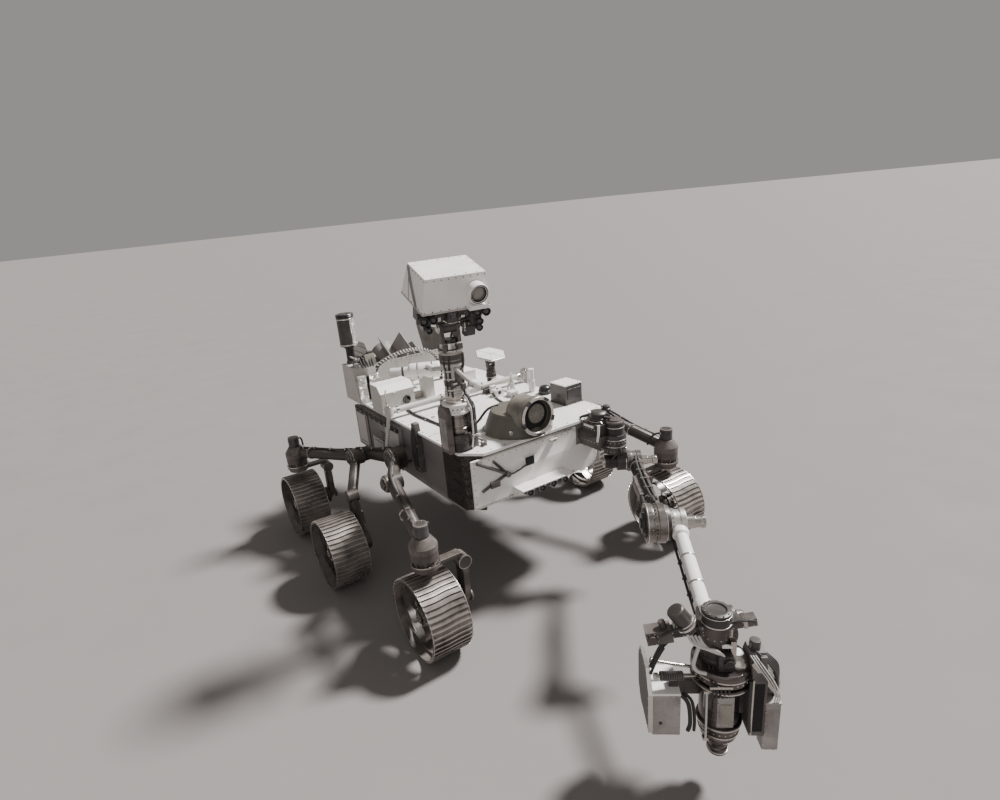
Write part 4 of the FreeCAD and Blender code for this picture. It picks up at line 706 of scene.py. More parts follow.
def wheels():
    """The six wheels: skin, flexures, lugs and nuts of each."""
    made = {"skin": wheel_skin()}
    for label, tree, finish, start in (("flexures", ROUND, "flexure metal", flexure()),
            ("lugs", LUGS, "lug metal", bpy.data.meshes.new("lugs"))):
        piece = put(label, start)
        grow(piece, tree, finish)
        made[label] = piece.data
        bpy.data.objects.remove(piece)
    for end, stop in (("front", 18), ("middle", 40), ("rear", 5)):
        for side, spin in (("right", 0), ("left", 180)):
            wheel = "wheel_%s_%s" % (end, side)
            at = Matrix.Translation(JOINTS["roll_%s_%s" % (end, side)]) @ turn("Z", spin) @ turn("X", stop)
            for label, slot in (("skin", "wheel_metal"), ("flexures", "bare_metal"), ("lugs", "wheel_metal")):
                mesh = made[label].copy()
                mesh.transform(at)
                settle(put("%s_%s" % (wheel, label), mesh), wheel, (wheel,) if label == "skin" else ())
            nuts = Fasteners(wheel + "_nuts", body=wheel, at=at @ MILLIMETRES)
            nuts.ring((-80.5, 0, 0), RIGHT, 54, 12, 4.2)
            nuts.ring((-95, 0, 0), RIGHT, 20, 6, 4.0)
            for i in range(6):
                for x in (-70, -48, -26):
                    nuts.one((x, *polar(241, 60 * i + 52)), (0, *polar(-1, 60 * i + 52)), 4.0)
            nuts.done()


wheels()


# Steering drives and knuckles.

HUB_HEIGHT = 262.5


def steering(end, side, sign, offset, reach):
    """Bolted flange, cone, capped encoder and the harness of one drive; the knuckle below it."""
    at = about(GROUND @ Vector((offset * sign, reach, 0)))
    trim = Bench("drive_trim_%s_%s" % (end, side), "bare metal", at=at)
    trim.collar(92, 84, 620, 626, 48)
    trim.collar(47, 43.5, 776, 780)
    trim.of("black housing").lathe([(45.5, 800), (45.5, 856), (42, 862), (42, 866), (34, 872), (0, 872)])
    trim.of("brown coating").lathe([(84, 700), (87, 704), (87, 738), (52, 788), (44, 790)], sides=40)
    for angle in range(20, 380, 45):
        trim.block((26, 5, 60), (*polar(66, angle), 652), turn("Z", angle))
    trim.of("black sleeve").pipe(mirrored([(40, 20, 840), (70, 44, 835), (88, 70, 800), (96, 92, 745)],
        -sign), 8)
    trim.of("bare metal").drum(12, (30 * -sign, 14, 841), (46 * -sign, 24, 839), 16)
    trim.done()
    heads = Fasteners("drive_screws_%s_%s" % (end, side), at=at)
    heads.ring((0, 0, 624), UP, 82, 20, 4.5)
    heads.ring((0, 0, 871), UP, 27, 8, 3.4)
    heads.done()
    knuckle = "knuckle_%s_%s" % (end, side)
    dress(knuckle, "leg tube", 4)
    inner = -sign * (RIM + 84)
    fit = Bench(knuckle + "_fittings", "black sleeve", knuckle, at)
    fit.pipe([(inner - sign * 58, 16, 560), (inner - sign * 60, 18, 470), (inner - sign * 60, 14, 380),
        (inner - sign * 40, 6, 296)], 7)
    fit.of("bare metal").blocks((14, 26, 12), *[(inner - sign * 57, 16, level) for level in (530, 450, 370)])
    middle = inner - sign * 27
    fit.of("leg tube").block((40, 88, 230), (middle, 0, 418))
    fit.drum(44, (middle, -46, 532), (middle, 46, 532), 36, 4)
    for y in (-47, 44):
        fit.of("bright ring").band(44.8, 42, (middle, y, 532), (middle, y + 3, 532), 36)
    fit.of("leg tube").lathe([(40, 0), (40, 12), (34, 16), (18, 16), (16, 22), (0, 22)],
        (inner - sign * 54, 0, HUB_HEIGHT), (-sign, 0, 0))
    fit.done()
    heads = Fasteners(knuckle + "_screws", body=knuckle, at=at)
    heads.ring((inner - sign * 66, 0, HUB_HEIGHT), (-sign, 0, 0), 33, 10, 3.4)
    heads.ring((inner + sign * 26, 0, HUB_HEIGHT), (sign, 0, 0), 58, 14, 4.0)
    heads.done()


for end, offset, reach in (("front", 1042, -1081), ("rear", 1167, 972)):
    for side, sign in SIDES:
        steering(end, side, sign, offset, reach)
for side, sign in SIDES:
    dress("steering_drives_" + side, "brown coating")


# Legs: rockers and bogies with their pivots, clamps and harness.

def legs(side, sign):
    """Rocker and bogie of one side, with pivot covers, collars and clamped harness."""
    dress("rocker_" + side, "leg tube", 3)
    dress("bogie_" + side, "leg tube", 3)
    covers = Bench("leg_covers_" + side, "brown coating")
    heads = Fasteners("leg_screws_" + side)
    for offset, reach, level, radius in ((750, -50, 850, 88), (902, 380, 780, 68), (978, -470, 880, 58)):
        cap = [(radius - 6, 0), (radius - 6, 8), (radius * 0.6, 12), (radius * 0.55, 22), (radius * 0.3, 24),
            (0, 24)]
        covers.of("brown coating").lathe(cap, (offset * sign, reach, level), (sign, 0, 0), 36)
        covers.of("bare metal").band(radius + 2.5, radius - 3, ((offset - 12) * sign, reach, level),
            ((offset - 5) * sign, reach, level), 40)
        heads.ring(((offset + 9) * sign, reach, level), (sign, 0, 0), radius * 0.78, 12, 4.2)
    runs = ([(700, -60, 905), (800, -230, 925), (905, -430, 950), (960, -560, 925), (1010, -820, 835),
        (1035, -985, 800)], [(862, 400, 842), (930, 520, 822), (1010, 700, 800), (1090, 860, 785),
        (1130, 920, 780)], [(700, 10, 920), (740, 160, 880), (775, 300, 850), (840, 372, 852)],
        [(905, 340, 760), (960, 240, 700), (1012, 130, 640), (1000, 70, 540), (995, 30, 420),
        (1000, 16, 330)])
    for run in runs:
        path = mirrored(run, sign)
        covers.of("black sleeve").pipe(path, 9, 10, 5)
        covers.of("grey sleeve").pipe([(x - 12 * sign, y + 6, z - 12) for x, y, z in path], 6, 8, 5)
        covers.of("bare metal")
        for a, b in zip(path, path[1:]):
            middle = (Vector(a) + Vector(b)) / 2
            ahead = (Vector(b) - Vector(a)).normalized()
            covers.band(13, 8, middle - ahead * 6, middle + ahead * 6, 16)
            covers.block((10, 16, 40), middle - Vector((4 * sign, 0, 26)))
    for middle, ahead in (((990 * sign, -800, 797), (-0.18, -0.95, -0.24)), ((1075 * sign, 800, 752), BACK)):
        covers.band(52, 44, Vector(middle) - Vector(ahead) * 8, Vector(middle) + Vector(ahead) * 8)
    covers.done()
    heads.done()


for side, sign in SIDES:
    legs(side, sign)


# Deck and chassis.

DECK_EDGE = [(-614, -849), (-494, -969), (494, -969), (614, -849), (614, 804), (494, 924), (-494, 924),
    (-614, 804)]


def deck():
    """Deck plate with its screws, seams, rings and harness."""
    dress("deck", "deck paint", 2)
    dark = Fasteners("deck_screws", "dark coating")
    dark.edge_of([(x * 0.965, y * 0.975) for x, y in DECK_EDGE], 1107.5, "z", 105, UP, 6.5)
    for y in (-430, -60, 330, 640):
        dark.row((-540, y, 1107.5), (540, y, 1107.5), 12, UP, 6.0)
    for x in (-395, 250):
        dark.row((x, -560, 1107.5), (x, 760, 1107.5), 14, UP, 6.0)
    dark.done(height=0.4)
    seams = Bench("deck_seams", "grey paint")
    for size, middle in (((1180, 3), (0, -450)), ((3, 1240), (-420, 170)), ((3, 1230), (275, 165)),
            ((1180, 3), (0, 310))):
        seams.block((*size, 2.4), (*middle, DECK_TOP + 0.4))
    seams.of("bare metal")
    for x in (-380, 380):
        for y in (-420, -120):
            seams.band(17, 7, (x, y, 1107), (x, y, 1111), 24)
    seams.of("white sleeve").pipe([(-470, -620, 1116), (-360, -560, 1116), (-330, -430, 1117),
        (-350, -250, 1116), (-300, -60, 1116)], 5)
    seams.of("black sleeve").pipe([(-500, -640, 1117), (-440, -520, 1117), (-440, -280, 1117),
        (-460, 20, 1118), (-440, 190, 1118)], 9)
    seams.pipe([(330, -520, 1117), (200, -440, 1117), (170, -240, 1117), (240, -20, 1117), (350, 120, 1117),
        (400, 210, 1119)], 7)
    seams.of("bare metal").blocks((30, 14, 8), (-440, -400, 1119), (-448, -150, 1119), (180, -340, 1119),
        (205, -120, 1119), (-340, -340, 1119))
    seams.done(0.6)


def inside(x, y, wide, long):
    """Outline 8 mm inside a box about its middle, for its screws."""
    return box_outline(x - wide / 2 + 8, y - long / 2 + 8, x + wide / 2 - 8, y + long / 2 - 8)


def small_unit(bench, size, foot, finish, lid="white paint", ports=()):
    """Deck unit: a box on a flange, its lid and its side connectors."""
    (wide, long, high), (x, y), z = size, foot, DECK_TOP
    bench.of(finish).block((wide + 16, long + 16, 6), (x, y, z + 3))
    bench.block((wide, long, high - 8), (x, y, z + high / 2))
    bench.of(lid).block((wide + 4, long + 4, 7), (x, y, z + high - 1))
    for side, level in ports:
        inner, low, high, outer = ((x + (wide / 2 + out) * side, y, z + level) for out in (-3, 3, 7, 14))
        bench.of("black housing").drum(11, inner, outer, 16)
        bench.of("bare metal").band(13, 8, low, high, 16)


def deck_units():
    """Boxes and instruments on the deck."""
    group = Bench("deck_units_made", "white paint")
    small_unit(group, (150, 190, 92), (330, 575), "white paint", "deck paint", ((-1, 40), (1, 40)))
    small_unit(group, (160, 170, 150), (524, -580), "dark coating", ports=((-1, 60),))
    group.of("black housing").block((120, 6, 80), (524, -668, 1190))
    group.lathe([(50, 0), (52, 4), (52, 30), (48, 34), (46, 48), (36, 60), (20, 67), (0, 70)],
        (540, -310, DECK_TOP), sides=36)
    group.of("bare metal").band(60, 50, (540, -310, DECK_TOP), (540, -310, 1113), 36)
    group.done(2.5, "deck_units")
    more = Bench("deck_instruments", "white paint")
    small_unit(more, (78, 60, 52), (256, -60), "white paint", ports=((-1, 24),))
    small_unit(more, (64, 74, 40), (330, -160), "white paint")
    small_unit(more, (90, 52, 34), (150, 180), "pale paint")
    small_unit(more, (60, 60, 46), (-220, 420), "grey paint", "pale paint")
    more.of("black housing").drum(15, (256, -92, 1138), (256, -86, 1138), 20)
    more.drum(12, (256, -60, 1158), (256, -60, 1168), 20)
    more.of("white paint").slab([(-70, DECK_TOP), (6, DECK_TOP), (-4, 1250), (-34, 1258)], 424, 430)
    more.of("bare metal").pipe([(427, -10, 1236), (427, 40, 1112)], 5)
    more.pipe([(420, -30, 1200), (372, -30, 1112)], 5)
    more.of("bright ring").band(34, 24, (-180, -120, DECK_TOP), (-180, -120, 1120), 36)
    more.of("black housing").lathe([(22, 0), (22, 10), (14, 14), (0, 15)], (-180, -120, DECK_TOP), sides=28)
    more.done(1.5)
    tops = Fasteners("deck_unit_screws")
    for x, y, wide, long, level in ((330, 575, 150, 190, 1202.5), (524, -580, 160, 170, 1260.5),
            (256, -60, 78, 60, 1162.5), (330, -160, 64, 74, 1150.5)):
        tops.edge_of(inside(x, y, wide, long), level, "z", 42, UP, 3.2)
    tops.done()


def deck_box():
    """Painted box on the deck's right side, with its port and handle."""
    def zones(at, facing):
        # Top faces white, the other faces in a grey paint: the greyer sides are painted shade.
        if facing.z > 0.4:
            return "white paint"
        # Walls of the port's hole take the near-black finish: painted shade inside the hole.
        in_hole = abs(at.x + 412) < 32 and abs(at.y - 265) < 42 and at.z < 1260
        return "painted recess shade" if in_hole and abs(facing.y) < 0.9 and abs(facing.z) < 1 else None
    dress("deck_box", "pale paint", 4, zones)
    fit = Bench("deck_box_fittings", "black housing")
    fit.band(35, 29.5, (-412, 226, 1179.7), (-412, 231, 1179.7))
    fit.of("bare metal").pipe([(-585, 222, 1300), (-600, 205, 1270), (-600, 205, 1180), (-585, 222, 1130)], 5)
    fit.of("white paint").slab([(232, 1262), (286, 1316), (286, 1322), (226, 1262)], -520, -500)
    fit.done(1)
    heads = Fasteners("deck_box_screws")
    heads.edge_of(box_outline(-620, 1120, -350, 1256), 230, "y", 55, FRONT, 3.6)
    heads.edge_of(box_outline(-620, 296, -350, 412), 1323, "z", 55, UP, 3.6)
    heads.ring((-412, 230, 1179.7), FRONT, 44, 8, 3.2)
    heads.done()


def canister():
    """Ribbed can with a narrower neck, straps and its saddle."""
    ahead = Vector((*polar(1, 150), 0))
    start = Vector((-30, 330, 1330))
    can = Bench("deck_canister_made", "white paint")
    can.lathe([(0, 0), (56, 0), (62, 4), (66, 12), (66, 60), (63, 63), (63, 70), (66, 73), (66, 178),
        (63, 181), (63, 188), (66, 191), (66, 238), (62, 248), (46, 250), (44, 254), (44, 404), (40, 412),
        (24, 414), (22, 419), (0, 420)], start, ahead, 48)
    for low, high in ((61, 71), (179, 189)):
        can.of("bare metal").band(67.5, 62, start + ahead * low, start + ahead * high, 48)
    can.of("black sleeve").band(46.5, 42, start + ahead * 300, start + ahead * 316, 36)
    can.done(0, "deck_canister")
    dress("canister_foot", "pale paint", 4)


def chassis():
    """Body shell, and the differential bar with its links, ends and cap."""
    def zones(at, facing):
        return "dark blanket" if at.z < 760 or facing.z < -0.4 else None
    dress("chassis", "grey paint", 5, zones)
    dress("differential_bar", "pale paint", 2)
    for side, sign in SIDES:
        dress("differential_link_" + side, "pale paint", 1)
        ends = Bench("differential_ends_" + side, "bare metal")
        ends.lathe([(30, 0), (34, 3), (34, 9), (20, 12), (18, 22), (0, 22)], (640 * sign, 83, 1202))
        ends.band(28, 23, (560 * sign, 83, 1170), (580 * sign, 83, 1170))
        ends.band(29, 23, (180 * sign, 83, 1170), (190 * sign, 83, 1170))
        ends.done()
    hub = Bench("differential_cap", "bare metal")
    hub.lathe([(56, 0), (56, 4), (44, 8), (40, 18), (22, 20), (0, 20)], (0, 83, 1199), sides=40)
    hub.done()
    heads = Fasteners("differential_screws")
    heads.ring((0, 83, 1200), UP, 63, 16, 4)
    heads.done()


SIDE_DOORS = ((130, 230, 720, 1030), (420, 200, 720, 860), (730, 170, 730, 1020))


def side_gear():
    """Panels, grille, strut, conduits and blanket of both chassis sides."""
    def zones(at, facing):
        return "dark coating" if abs(at.x) > 626 and 560 < at.y < 640 else None
    for side, sign in SIDES:
        dress("side_panels_" + side, "grey paint", 3, zones)
        gear = Bench("side_gear_" + side, "grey paint")
        face = 624 * sign
        for y, long, low, high in SIDE_DOORS:
            gear.of("pale paint").block((5, long, high - low), (face, y, (low + high) / 2))
            gear.of("dark coating").blocks((9, long - 30, 6), (face, y, high - 20), (face, y, low + 20))
        gear.of("black sleeve").pipe(mirrored([(633, -10, 1040), (634, 150, 1045), (634, 420, 1040),
            (633, 800, 1046)], sign), 9)
        gear.pipe(mirrored([(632, 0, 1020), (632, 240, 1018), (632, 520, 1022), (632, 800, 1018)], sign), 6)
        gear.of("bare metal").blocks((16, 12, 46), *[(face + 4 * sign, y, 1031) for y in range(40, 800, 95)])
        gear.done(0.8)
        heads = Fasteners("side_screws_" + side)
        for y, long, low, high in SIDE_DOORS:
            heads.edge_of(inside(y, (low + high) / 2, long, high - low), face + 2.5 * sign, "x", 46,
                (sign, 0, 0), 3.4)
        heads.done()
    dress("side_conduit", "dark coating", 3)
    run = Bench("conduit_clamps", "bare metal")
    for level in (830, 920, 1010):
        run.block((6, 96, 12), (-635, -280, level))
        run.blocks((10, 10, 22), (-636, -240, level), (-636, -320, level))
    run.of("black sleeve")
    for shift in (-26, -8, 10, 28):
        run.pipe([(-630, -280 + shift, 806), (-640, -280 + shift, 900), (-640, -280 + shift, 1040),
            (-626, -280 + shift * 0.6, 1150)], 7, 8, 5)
    run.done()


def front():
    """Front panel, truss, visor with its cameras and the corner skirt."""
    def zones(at, facing):
        # The square hole in the panel is drawn flat in the near-black finish: painted shade.
        return "painted recess shade" if abs(at.x + 144) < 38 and at.y < -962 else None
    dress("front_panel", "white paint", 3, zones)
    trim = Bench("panel_trim", "white paint")
    trim.blocks((78, 5, 7), (-144, -965.5, 983), (-144, -965.5, 917))
    trim.blocks((7, 5, 72), (-183, -965.5, 950), (-105, -965.5, 950))
    trim.of("bright ring").block((820, 6, 9), (-170, -960, 1066))
    trim.of("pale paint").slab([(-586, 742), (-586, 756), (240, 756), (240, 742)], -965, -961, "y")
    trim.block((60, 26, 14), (60, -972, 1040))
    trim.of("bare metal").band(8, 4, (60, -994, 1040), (60, -984, 1040), 20)
    trim.of("black sleeve").pipe([(-180, -970, 930), (-230, -972, 915), (-290, -972, 905), (-330, -974, 915)],
        6)
    trim.done(1)
    heads = Fasteners("panel_screws")
    heads.row((-570, -961.5, 1052), (250, -961.5, 1052), 16, FRONT, 4.6)
    heads.row((-570, -965.5, 749), (230, -965.5, 749), 16, FRONT, 4.2)
    heads.row((-576, -961.5, 780), (-576, -961.5, 1030), 6, FRONT, 4.6)
    for angle in range(-70, 100, 20):
        out, up = polar(86, angle)
        heads.one((360 + out, -961.5, 835 + up), FRONT, 4.4)
    heads.ring((-144, -968, 950), FRONT, 52, 8, 3.2)
    heads.done()
    dress("front_truss", "dark coating", 1.5)
    visor = Bench("camera_visor_made", "white paint")
    visor.slab([(-960, 793), (-1061, 793), (-1065, 797), (-1065, 804), (-1061, 807), (-960, 807)], -287, 143)
    for x in (-287, 139):
        visor.slab([(-962, 793), (-1050, 793), (-962, 744)], x, x + 4)
    visor.of("dark coating").block((420, 10, 34), (-72, -966, 778))
    visor.of("bright ring").block((424, 3, 3), (-72, -1065.5, 805))
    for x in (-219, -121, -23, 75):
        visor.of("dark coating").block((46, 60, 40), (x, -994, 776))
        visor.barrel(22, (x, -1020, 773), 40)
        visor.of("bright ring").band(24.5, 18, (x, -1054, 773), (x, -1046, 773))
        visor.of("white paint").block((30, 44, 32), (x + 46, -1000, 778))
        visor.block((52, 10, 8), (x, -1034, 796))
        visor.of("black sleeve").pipe([(x + 14, -970, 790), (x + 26, -985, 770), (x + 30, -975, 752)], 4)
    visor.done(1, "camera_visor")
    dress("corner_skirt", "dark blanket", 2)
    creases = Bench("skirt_creases", "dark blanket")
    for level, lean in ((1040, 6), (960, -9), (880, 8), (800, -6)):
        creases.pipe([(-601, -690, level), (-605, -760, level + lean), (-602, -842, level - lean),
            (-560, -902, level + lean * 2), (-505, -950, level - lean)], 5, 6, 5, 0.6)
    creases.done()


def deck_fittings_and_painted_shadow():
    """Connectors, clamps and short harness runs on the deck between the larger units, and a dark plate under
    the carousel's front that is painted shadow.
    """
    bits = Bench("deck_fittings_and_painted_shadow", "dark coating")
    # Dark plate on the deck below the carousel's front edge: painted shadow of the ring.
    bits.slab([(-215, -952), (60, -952), (96, -800), (-250, -800)], 1107, 1112, "z")
    for x, y, wide, deep, high in ((-420, -860, 34, 26, 22), (-388, -812, 24, 38, 18),
            (-436, -700, 40, 24, 26), (-392, -640, 26, 26, 34), (-352, -566, 46, 30, 24),
            (-300, -500, 26, 40, 20), (150, -420, 44, 30, 30), (212, -372, 30, 46, 24),
            (300, -250, 50, 36, 34), (236, 60, 60, 40, 40), (320, 150, 34, 50, 52), (250, 330, 46, 40, 36),
            (-180, 60, 50, 36, 44), (-120, 140, 36, 36, 30), (-240, -60, 40, 60, 34)):
        bits.block((wide, deep, high), (x, y, DECK_TOP + high / 2))
    bits.of("bright ring")
    for x, y, high in ((-420, -846, 26), (-436, -688, 30), (-352, -550, 30), (212, -350, 34), (236, 82, 52),
            (-180, 80, 58), (320, 122, 60), (300, -228, 40)):
        bits.drum(9, (x, y, DECK_TOP), (x, y, DECK_TOP + high), 18)
    bits.of("white paint")
    for x, y, high in ((-330, -700, 18), (170, -470, 26), (268, 20, 64), (284, 250, 40), (-150, -10, 46)):
        bits.block((46, 34, high), (x, y, DECK_TOP + high / 2))
    bits.of("black sleeve")
    for run in ([(-470, -740), (-430, -690), (-380, -600), (-330, -560), (-280, -480)],
            [(-462, -700), (-410, -770), (-392, -830), (-430, -880)],
            [(150, -430), (190, -330), (260, -240), (330, -210), (380, -120)],
            [(210, 40), (250, 120), (300, 170), (300, 260), (260, 330)],
            [(-260, -80), (-200, 0), (-170, 80), (-110, 150)]):
        bits.pipe([(x, y, 1118 + 10 * (i % 2)) for i, (x, y) in enumerate(run)], 6)
    bits.done(1)


def carousel():
    """Squat olive housing with a clamped, ported ring on its front."""
    x, y = -78, -760
    form = Bench("bit_carousel_made", "olive plate")
    form.lathe([(0, 0), (240, 0), (240, 8), (228, 12), (176, 138), (170, 146), (150, 150), (60, 150),
        (56, 156), (0, 158)], (x, y, DECK_TOP), sides=64)
    form.lathe([(118, 60), (132, 40), (132, 4), (128, 0), (108, 0), (108, 34), (86, 40), (0, 40)],
        (x, -1001, 1250), BACK, 64)
    form.lathe(box_outline(0, 50, 124, 190), (x, -1001, 1238), BACK, 48)
    form.of("bright ring").band(129, 109, (x, -1003, 1250), (x, -1000, 1250), 72)
    form.band(244, 236, (x, y, DECK_TOP), (x, y, 1113), 72)
    for angle in range(54, 414, 72):
        out, up = polar(122, angle)
        form.of("black housing").block((34, 22, 20), (x + out, -1000, 1250 + up), turn("Y", -angle - 90))
    # Near-black disc inside the port: painted shade within the ring.
    form.of("painted recess shade").lathe(box_outline(0, 0, 98, 3), (x, -969, 1250), BACK, 48)
    form.of("olive plate").lathe([(0, 0), (62, 0), (66, 3), (66, 12), (0, 12)], (x + 6, -980, 1262), BACK, 40)
    form.of("bare metal").lathe([(22, 0), (24, 3), (24, 92), (18, 98), (0, 98)], (x + 168, -905, DECK_TOP),
        sides=28)
    form.lathe([(14, 0), (16, 3), (16, 60), (0, 62)], (x - 150, -900, DECK_TOP), sides=24)
    form.of("black sleeve").pipe([(x - 60, -640, 1262), (x - 130, -610, 1240), (x - 190, -570, 1160),
        (x - 240, -540, 1116)], 9)
    form.done(1.5, "bit_carousel")
    heads = Fasteners("carousel_screws")
    heads.ring((x, y, 1116), UP, 234, 30, 4.4)
    heads.ring((x, y, 1258), UP, 158, 20, 4.0)
    heads.ring((x, -1003, 1250), FRONT, 119, 25, 3.4)
    heads.ring((x + 6, -980, 1262), FRONT, 52, 10, 3.2)
    heads.done()


deck()
deck_units()
deck_box()
canister()
chassis()
side_gear()
front()
carousel()
deck_fittings_and_painted_shadow()


# Mast, head and steerable antenna.

def mast_base():
    """Foot, brushed drive drum, bolted ring, side plates and the cable loop of the mast's drive."""
    foot = Bench("mast_base_made", "dark coating", at=MAST)
    foot.lathe([(0, 0), (80, 0), (80, 6), (76, 10), (76, 58), (80, 62), (80, 106), (76, 112), (60, 112),
        (60, 114), (0, 114)], sides=48)
    foot.of("brushed drum").lathe([(0, 110), (60, 110), (62, 113), (62, 150), (58, 153), (58, 158), (62, 161),
        (62, 216), (58, 219), (58, 224), (62, 227), (62, 252), (0, 252)], sides=56)
    foot.of("white paint").lathe([(0, 250), (84, 250), (88, 254), (88, 268), (82, 272), (82, 300), (88, 304),
        (88, 314), (84, 318), (0, 318)], sides=56)
    foot.of("bare metal").lathe([(0, 316), (60, 316), (62, 320), (62, 340), (57, 343), (57, 350), (62, 353),
        (62, 368), (0, 368)], sides=48)
    for sign in (-1, 1):
        foot.of("brown coating").slab([(-55, 0), (55, 0), (55, 262), (38, 300), (-38, 300), (-55, 262)],
            72 * sign, 108 * sign)
        foot.of("grey paint").slab(box_outline(-40, 24, 40, 230), 107 * sign, 109.5 * sign)
        foot.of("dark coating").blocks((24, 116, 8), (90 * sign, 0, 60), (90 * sign, 0, 190))
    foot.of("black sleeve").pipe([(58, -70, 20), (64, -84, 90), (66, -88, 190), (62, -92, 270),
        (54, -72, 336), (44, -52, 372)], 9)
    foot.pipe([(70, -60, 10), (78, -76, 100), (80, -80, 210), (76, -78, 290), (60, -50, 360)], 7)
    foot.of("white sleeve").pipe([(46, -74, 14), (52, -88, 100), (50, -94, 200), (48, -94, 280),
        (38, -64, 350)], 6)
    foot.of("bare metal")
    for level in (96, 190, 286):
        foot.block((44, 8, 12), (62, -92, level))
        foot.block((12, 26, 12), (56, -80, level))
    foot.done(1.2, "mast_base")
    heads = Fasteners("mast_base_screws", "dark coating", at=MAST)
    heads.ring((0, 0, 286), UP, 82.5, 18, 5.2, "out")
    heads.ring((0, 0, 84), UP, 79, 14, 5.0, "out")
    for sign in (-1, 1):
        for y in (-44, 44):
            heads.row((109 * sign, y, 16), (109 * sign, y, 250), 7, (sign, 0, 0), 4.4)
    heads.done()


def mast_tube():
    """Tube with its upper band, clamped harness and two sensor booms."""
    at = MAST @ Matrix.Translation((0, 0, 368))
    tube = Bench("mast_tube_made", "pale paint", at=at)
    tube.lathe([(0, 0), (62, 0), (62, 12), (56, 16), (56, 182), (66, 184), (70, 188), (70, 200), (66, 204),
        (66, 222), (70, 226), (70, 262), (66, 268), (60, 274), (0, 274)], sides=56)
    for turned in (-4, 180):
        way = Vector((*polar(1, turned - 90), 0))
        root = Vector((0, 0, 164)) + way * 48
        tip = Vector((0, 0, 118)) + way * 250
        tube.of("pale paint").drum(13, root, tip, 24)
        tube.of("bare metal").drum(20, root - way * 4, root + way * 16 - Vector((0, 0, 3)), 28)
        tube.of("white paint").lathe([(14, 0), (24, 6), (24, 22), (21, 25), (21, 40), (24, 43), (24, 66),
            (12, 74), (0, 74)], tip, way, 28)
        side = way.cross(Vector(UP))
        tube.of("dark coating")
        for spot in (16, 34, 52):
            tube.block((30, 12, 3), tip + way * spot + side * 26, turn("Z", turned))
            tube.block((30, 12, 3), tip + way * spot - side * 26, turn("Z", turned))
        tube.of("black sleeve").pipe([root + Vector((0, 0, -18)), root + way * 60 + Vector((0, 0, -30)),
            root + way * 150 + Vector((0, 0, -46)), tip + Vector((0, 0, -14))], 4, 8)
    tube.of("black sleeve").pipe([(44, -46, 4), (46, -44, 80), (48, -42, 150), (50, -54, 190),
        (48, -56, 250)], 8)
    tube.pipe([(56, -28, -6), (58, -24, 90), (58, -22, 160), (66, -34, 200), (64, -36, 256)], 7)
    tube.pipe([(-40, -46, -6), (-44, -42, 90), (-44, -42, 160), (-50, -54, 200), (-44, -58, 256)], 7)
    tube.pipe([(-56, -22, 0), (-58, -18, 90), (-58, -18, 160), (-68, -24, 200), (-64, -30, 256)], 5)
    tube.of("bare metal")
    for level in (40, 110, 160):
        tube.collar(59, 56, level - 5, level + 5, 48)
        tube.block((34, 8, 11), (50, -42, level), turn("Z", 50))
        tube.block((34, 8, 11), (-50, -40, level), turn("Z", -50))
    tube.of("dark coating").collar(71.5, 66, 206, 220, 48)
    tube.collar(74, 68, 228, 260, 56)
    tube.collar(60, 55, 60, 92, 48)
    tube.block((46, 26, 60), (4, -66, 128))
    tube.block((30, 18, 40), (-34, -56, 76))
    tube.block((26, 22, 36), (34, -60, 54))
    tube.of("bright ring").drum(11, (4, -80, 140), (4, -88, 140), 20)
    tube.block((30, 8, 12), (-30, -68, 84))
    tube.collar(62, 56, 18, 24, 48)
    tube.done(0.8, "mast_tube")
    heads = Fasteners("mast_tube_screws", at=at)
    heads.ring((0, 0, 244), UP, 69.5, 16, 4.4, "out")
    heads.done()


def neck():
    """Panning neck: bright cone and dark band under the camera bar, with the two ears."""
    form = Bench("mast_neck_made", "bare metal", "mast_pan", NECK)
    form.lathe([(0, 0), (72, 0), (74, 3), (74, 14), (66, 20), (60, 40), (60, 56), (0, 56)], sides=56)
    form.of("black housing").lathe(box_outline(0, 55, 46, 76), sides=40)
    form.collar(75, 70, 16, 24, 48)
    form.of("dark coating").block((22, 20, 46), (-58, -60, 30))
    form.block((30, 14, 30), (40, -68, 34))
    for sign in (-1, 1):
        form.of("brown coating").slab([(-44, 54), (44, 54), (34, 146), (17, 180), (-17, 180), (-34, 146)],
            42.4 * sign, 63.6 * sign)
        form.of("bare metal").lathe([(32, 0), (32, 4), (22, 7), (20, 13), (0, 13)], (62 * sign, 0, 145.7),
            (sign, 0, 0), 36)
    form.of("black sleeve").pipe([(30, 66, 8), (40, 74, 40), (46, 62, 90), (58, 40, 150)], 7)
    form.done(1, "mast_neck")
    heads = Fasteners("mast_neck_screws", "dark coating", "mast_pan", NECK)
    heads.ring((0, 0, 8), UP, 73.5, 20, 4.2, "out")
    for sign in (-1, 1):
        heads.ring((66 * sign, 0, 145.7), (sign, 0, 0), 27, 8, 3.0)
    heads.done()


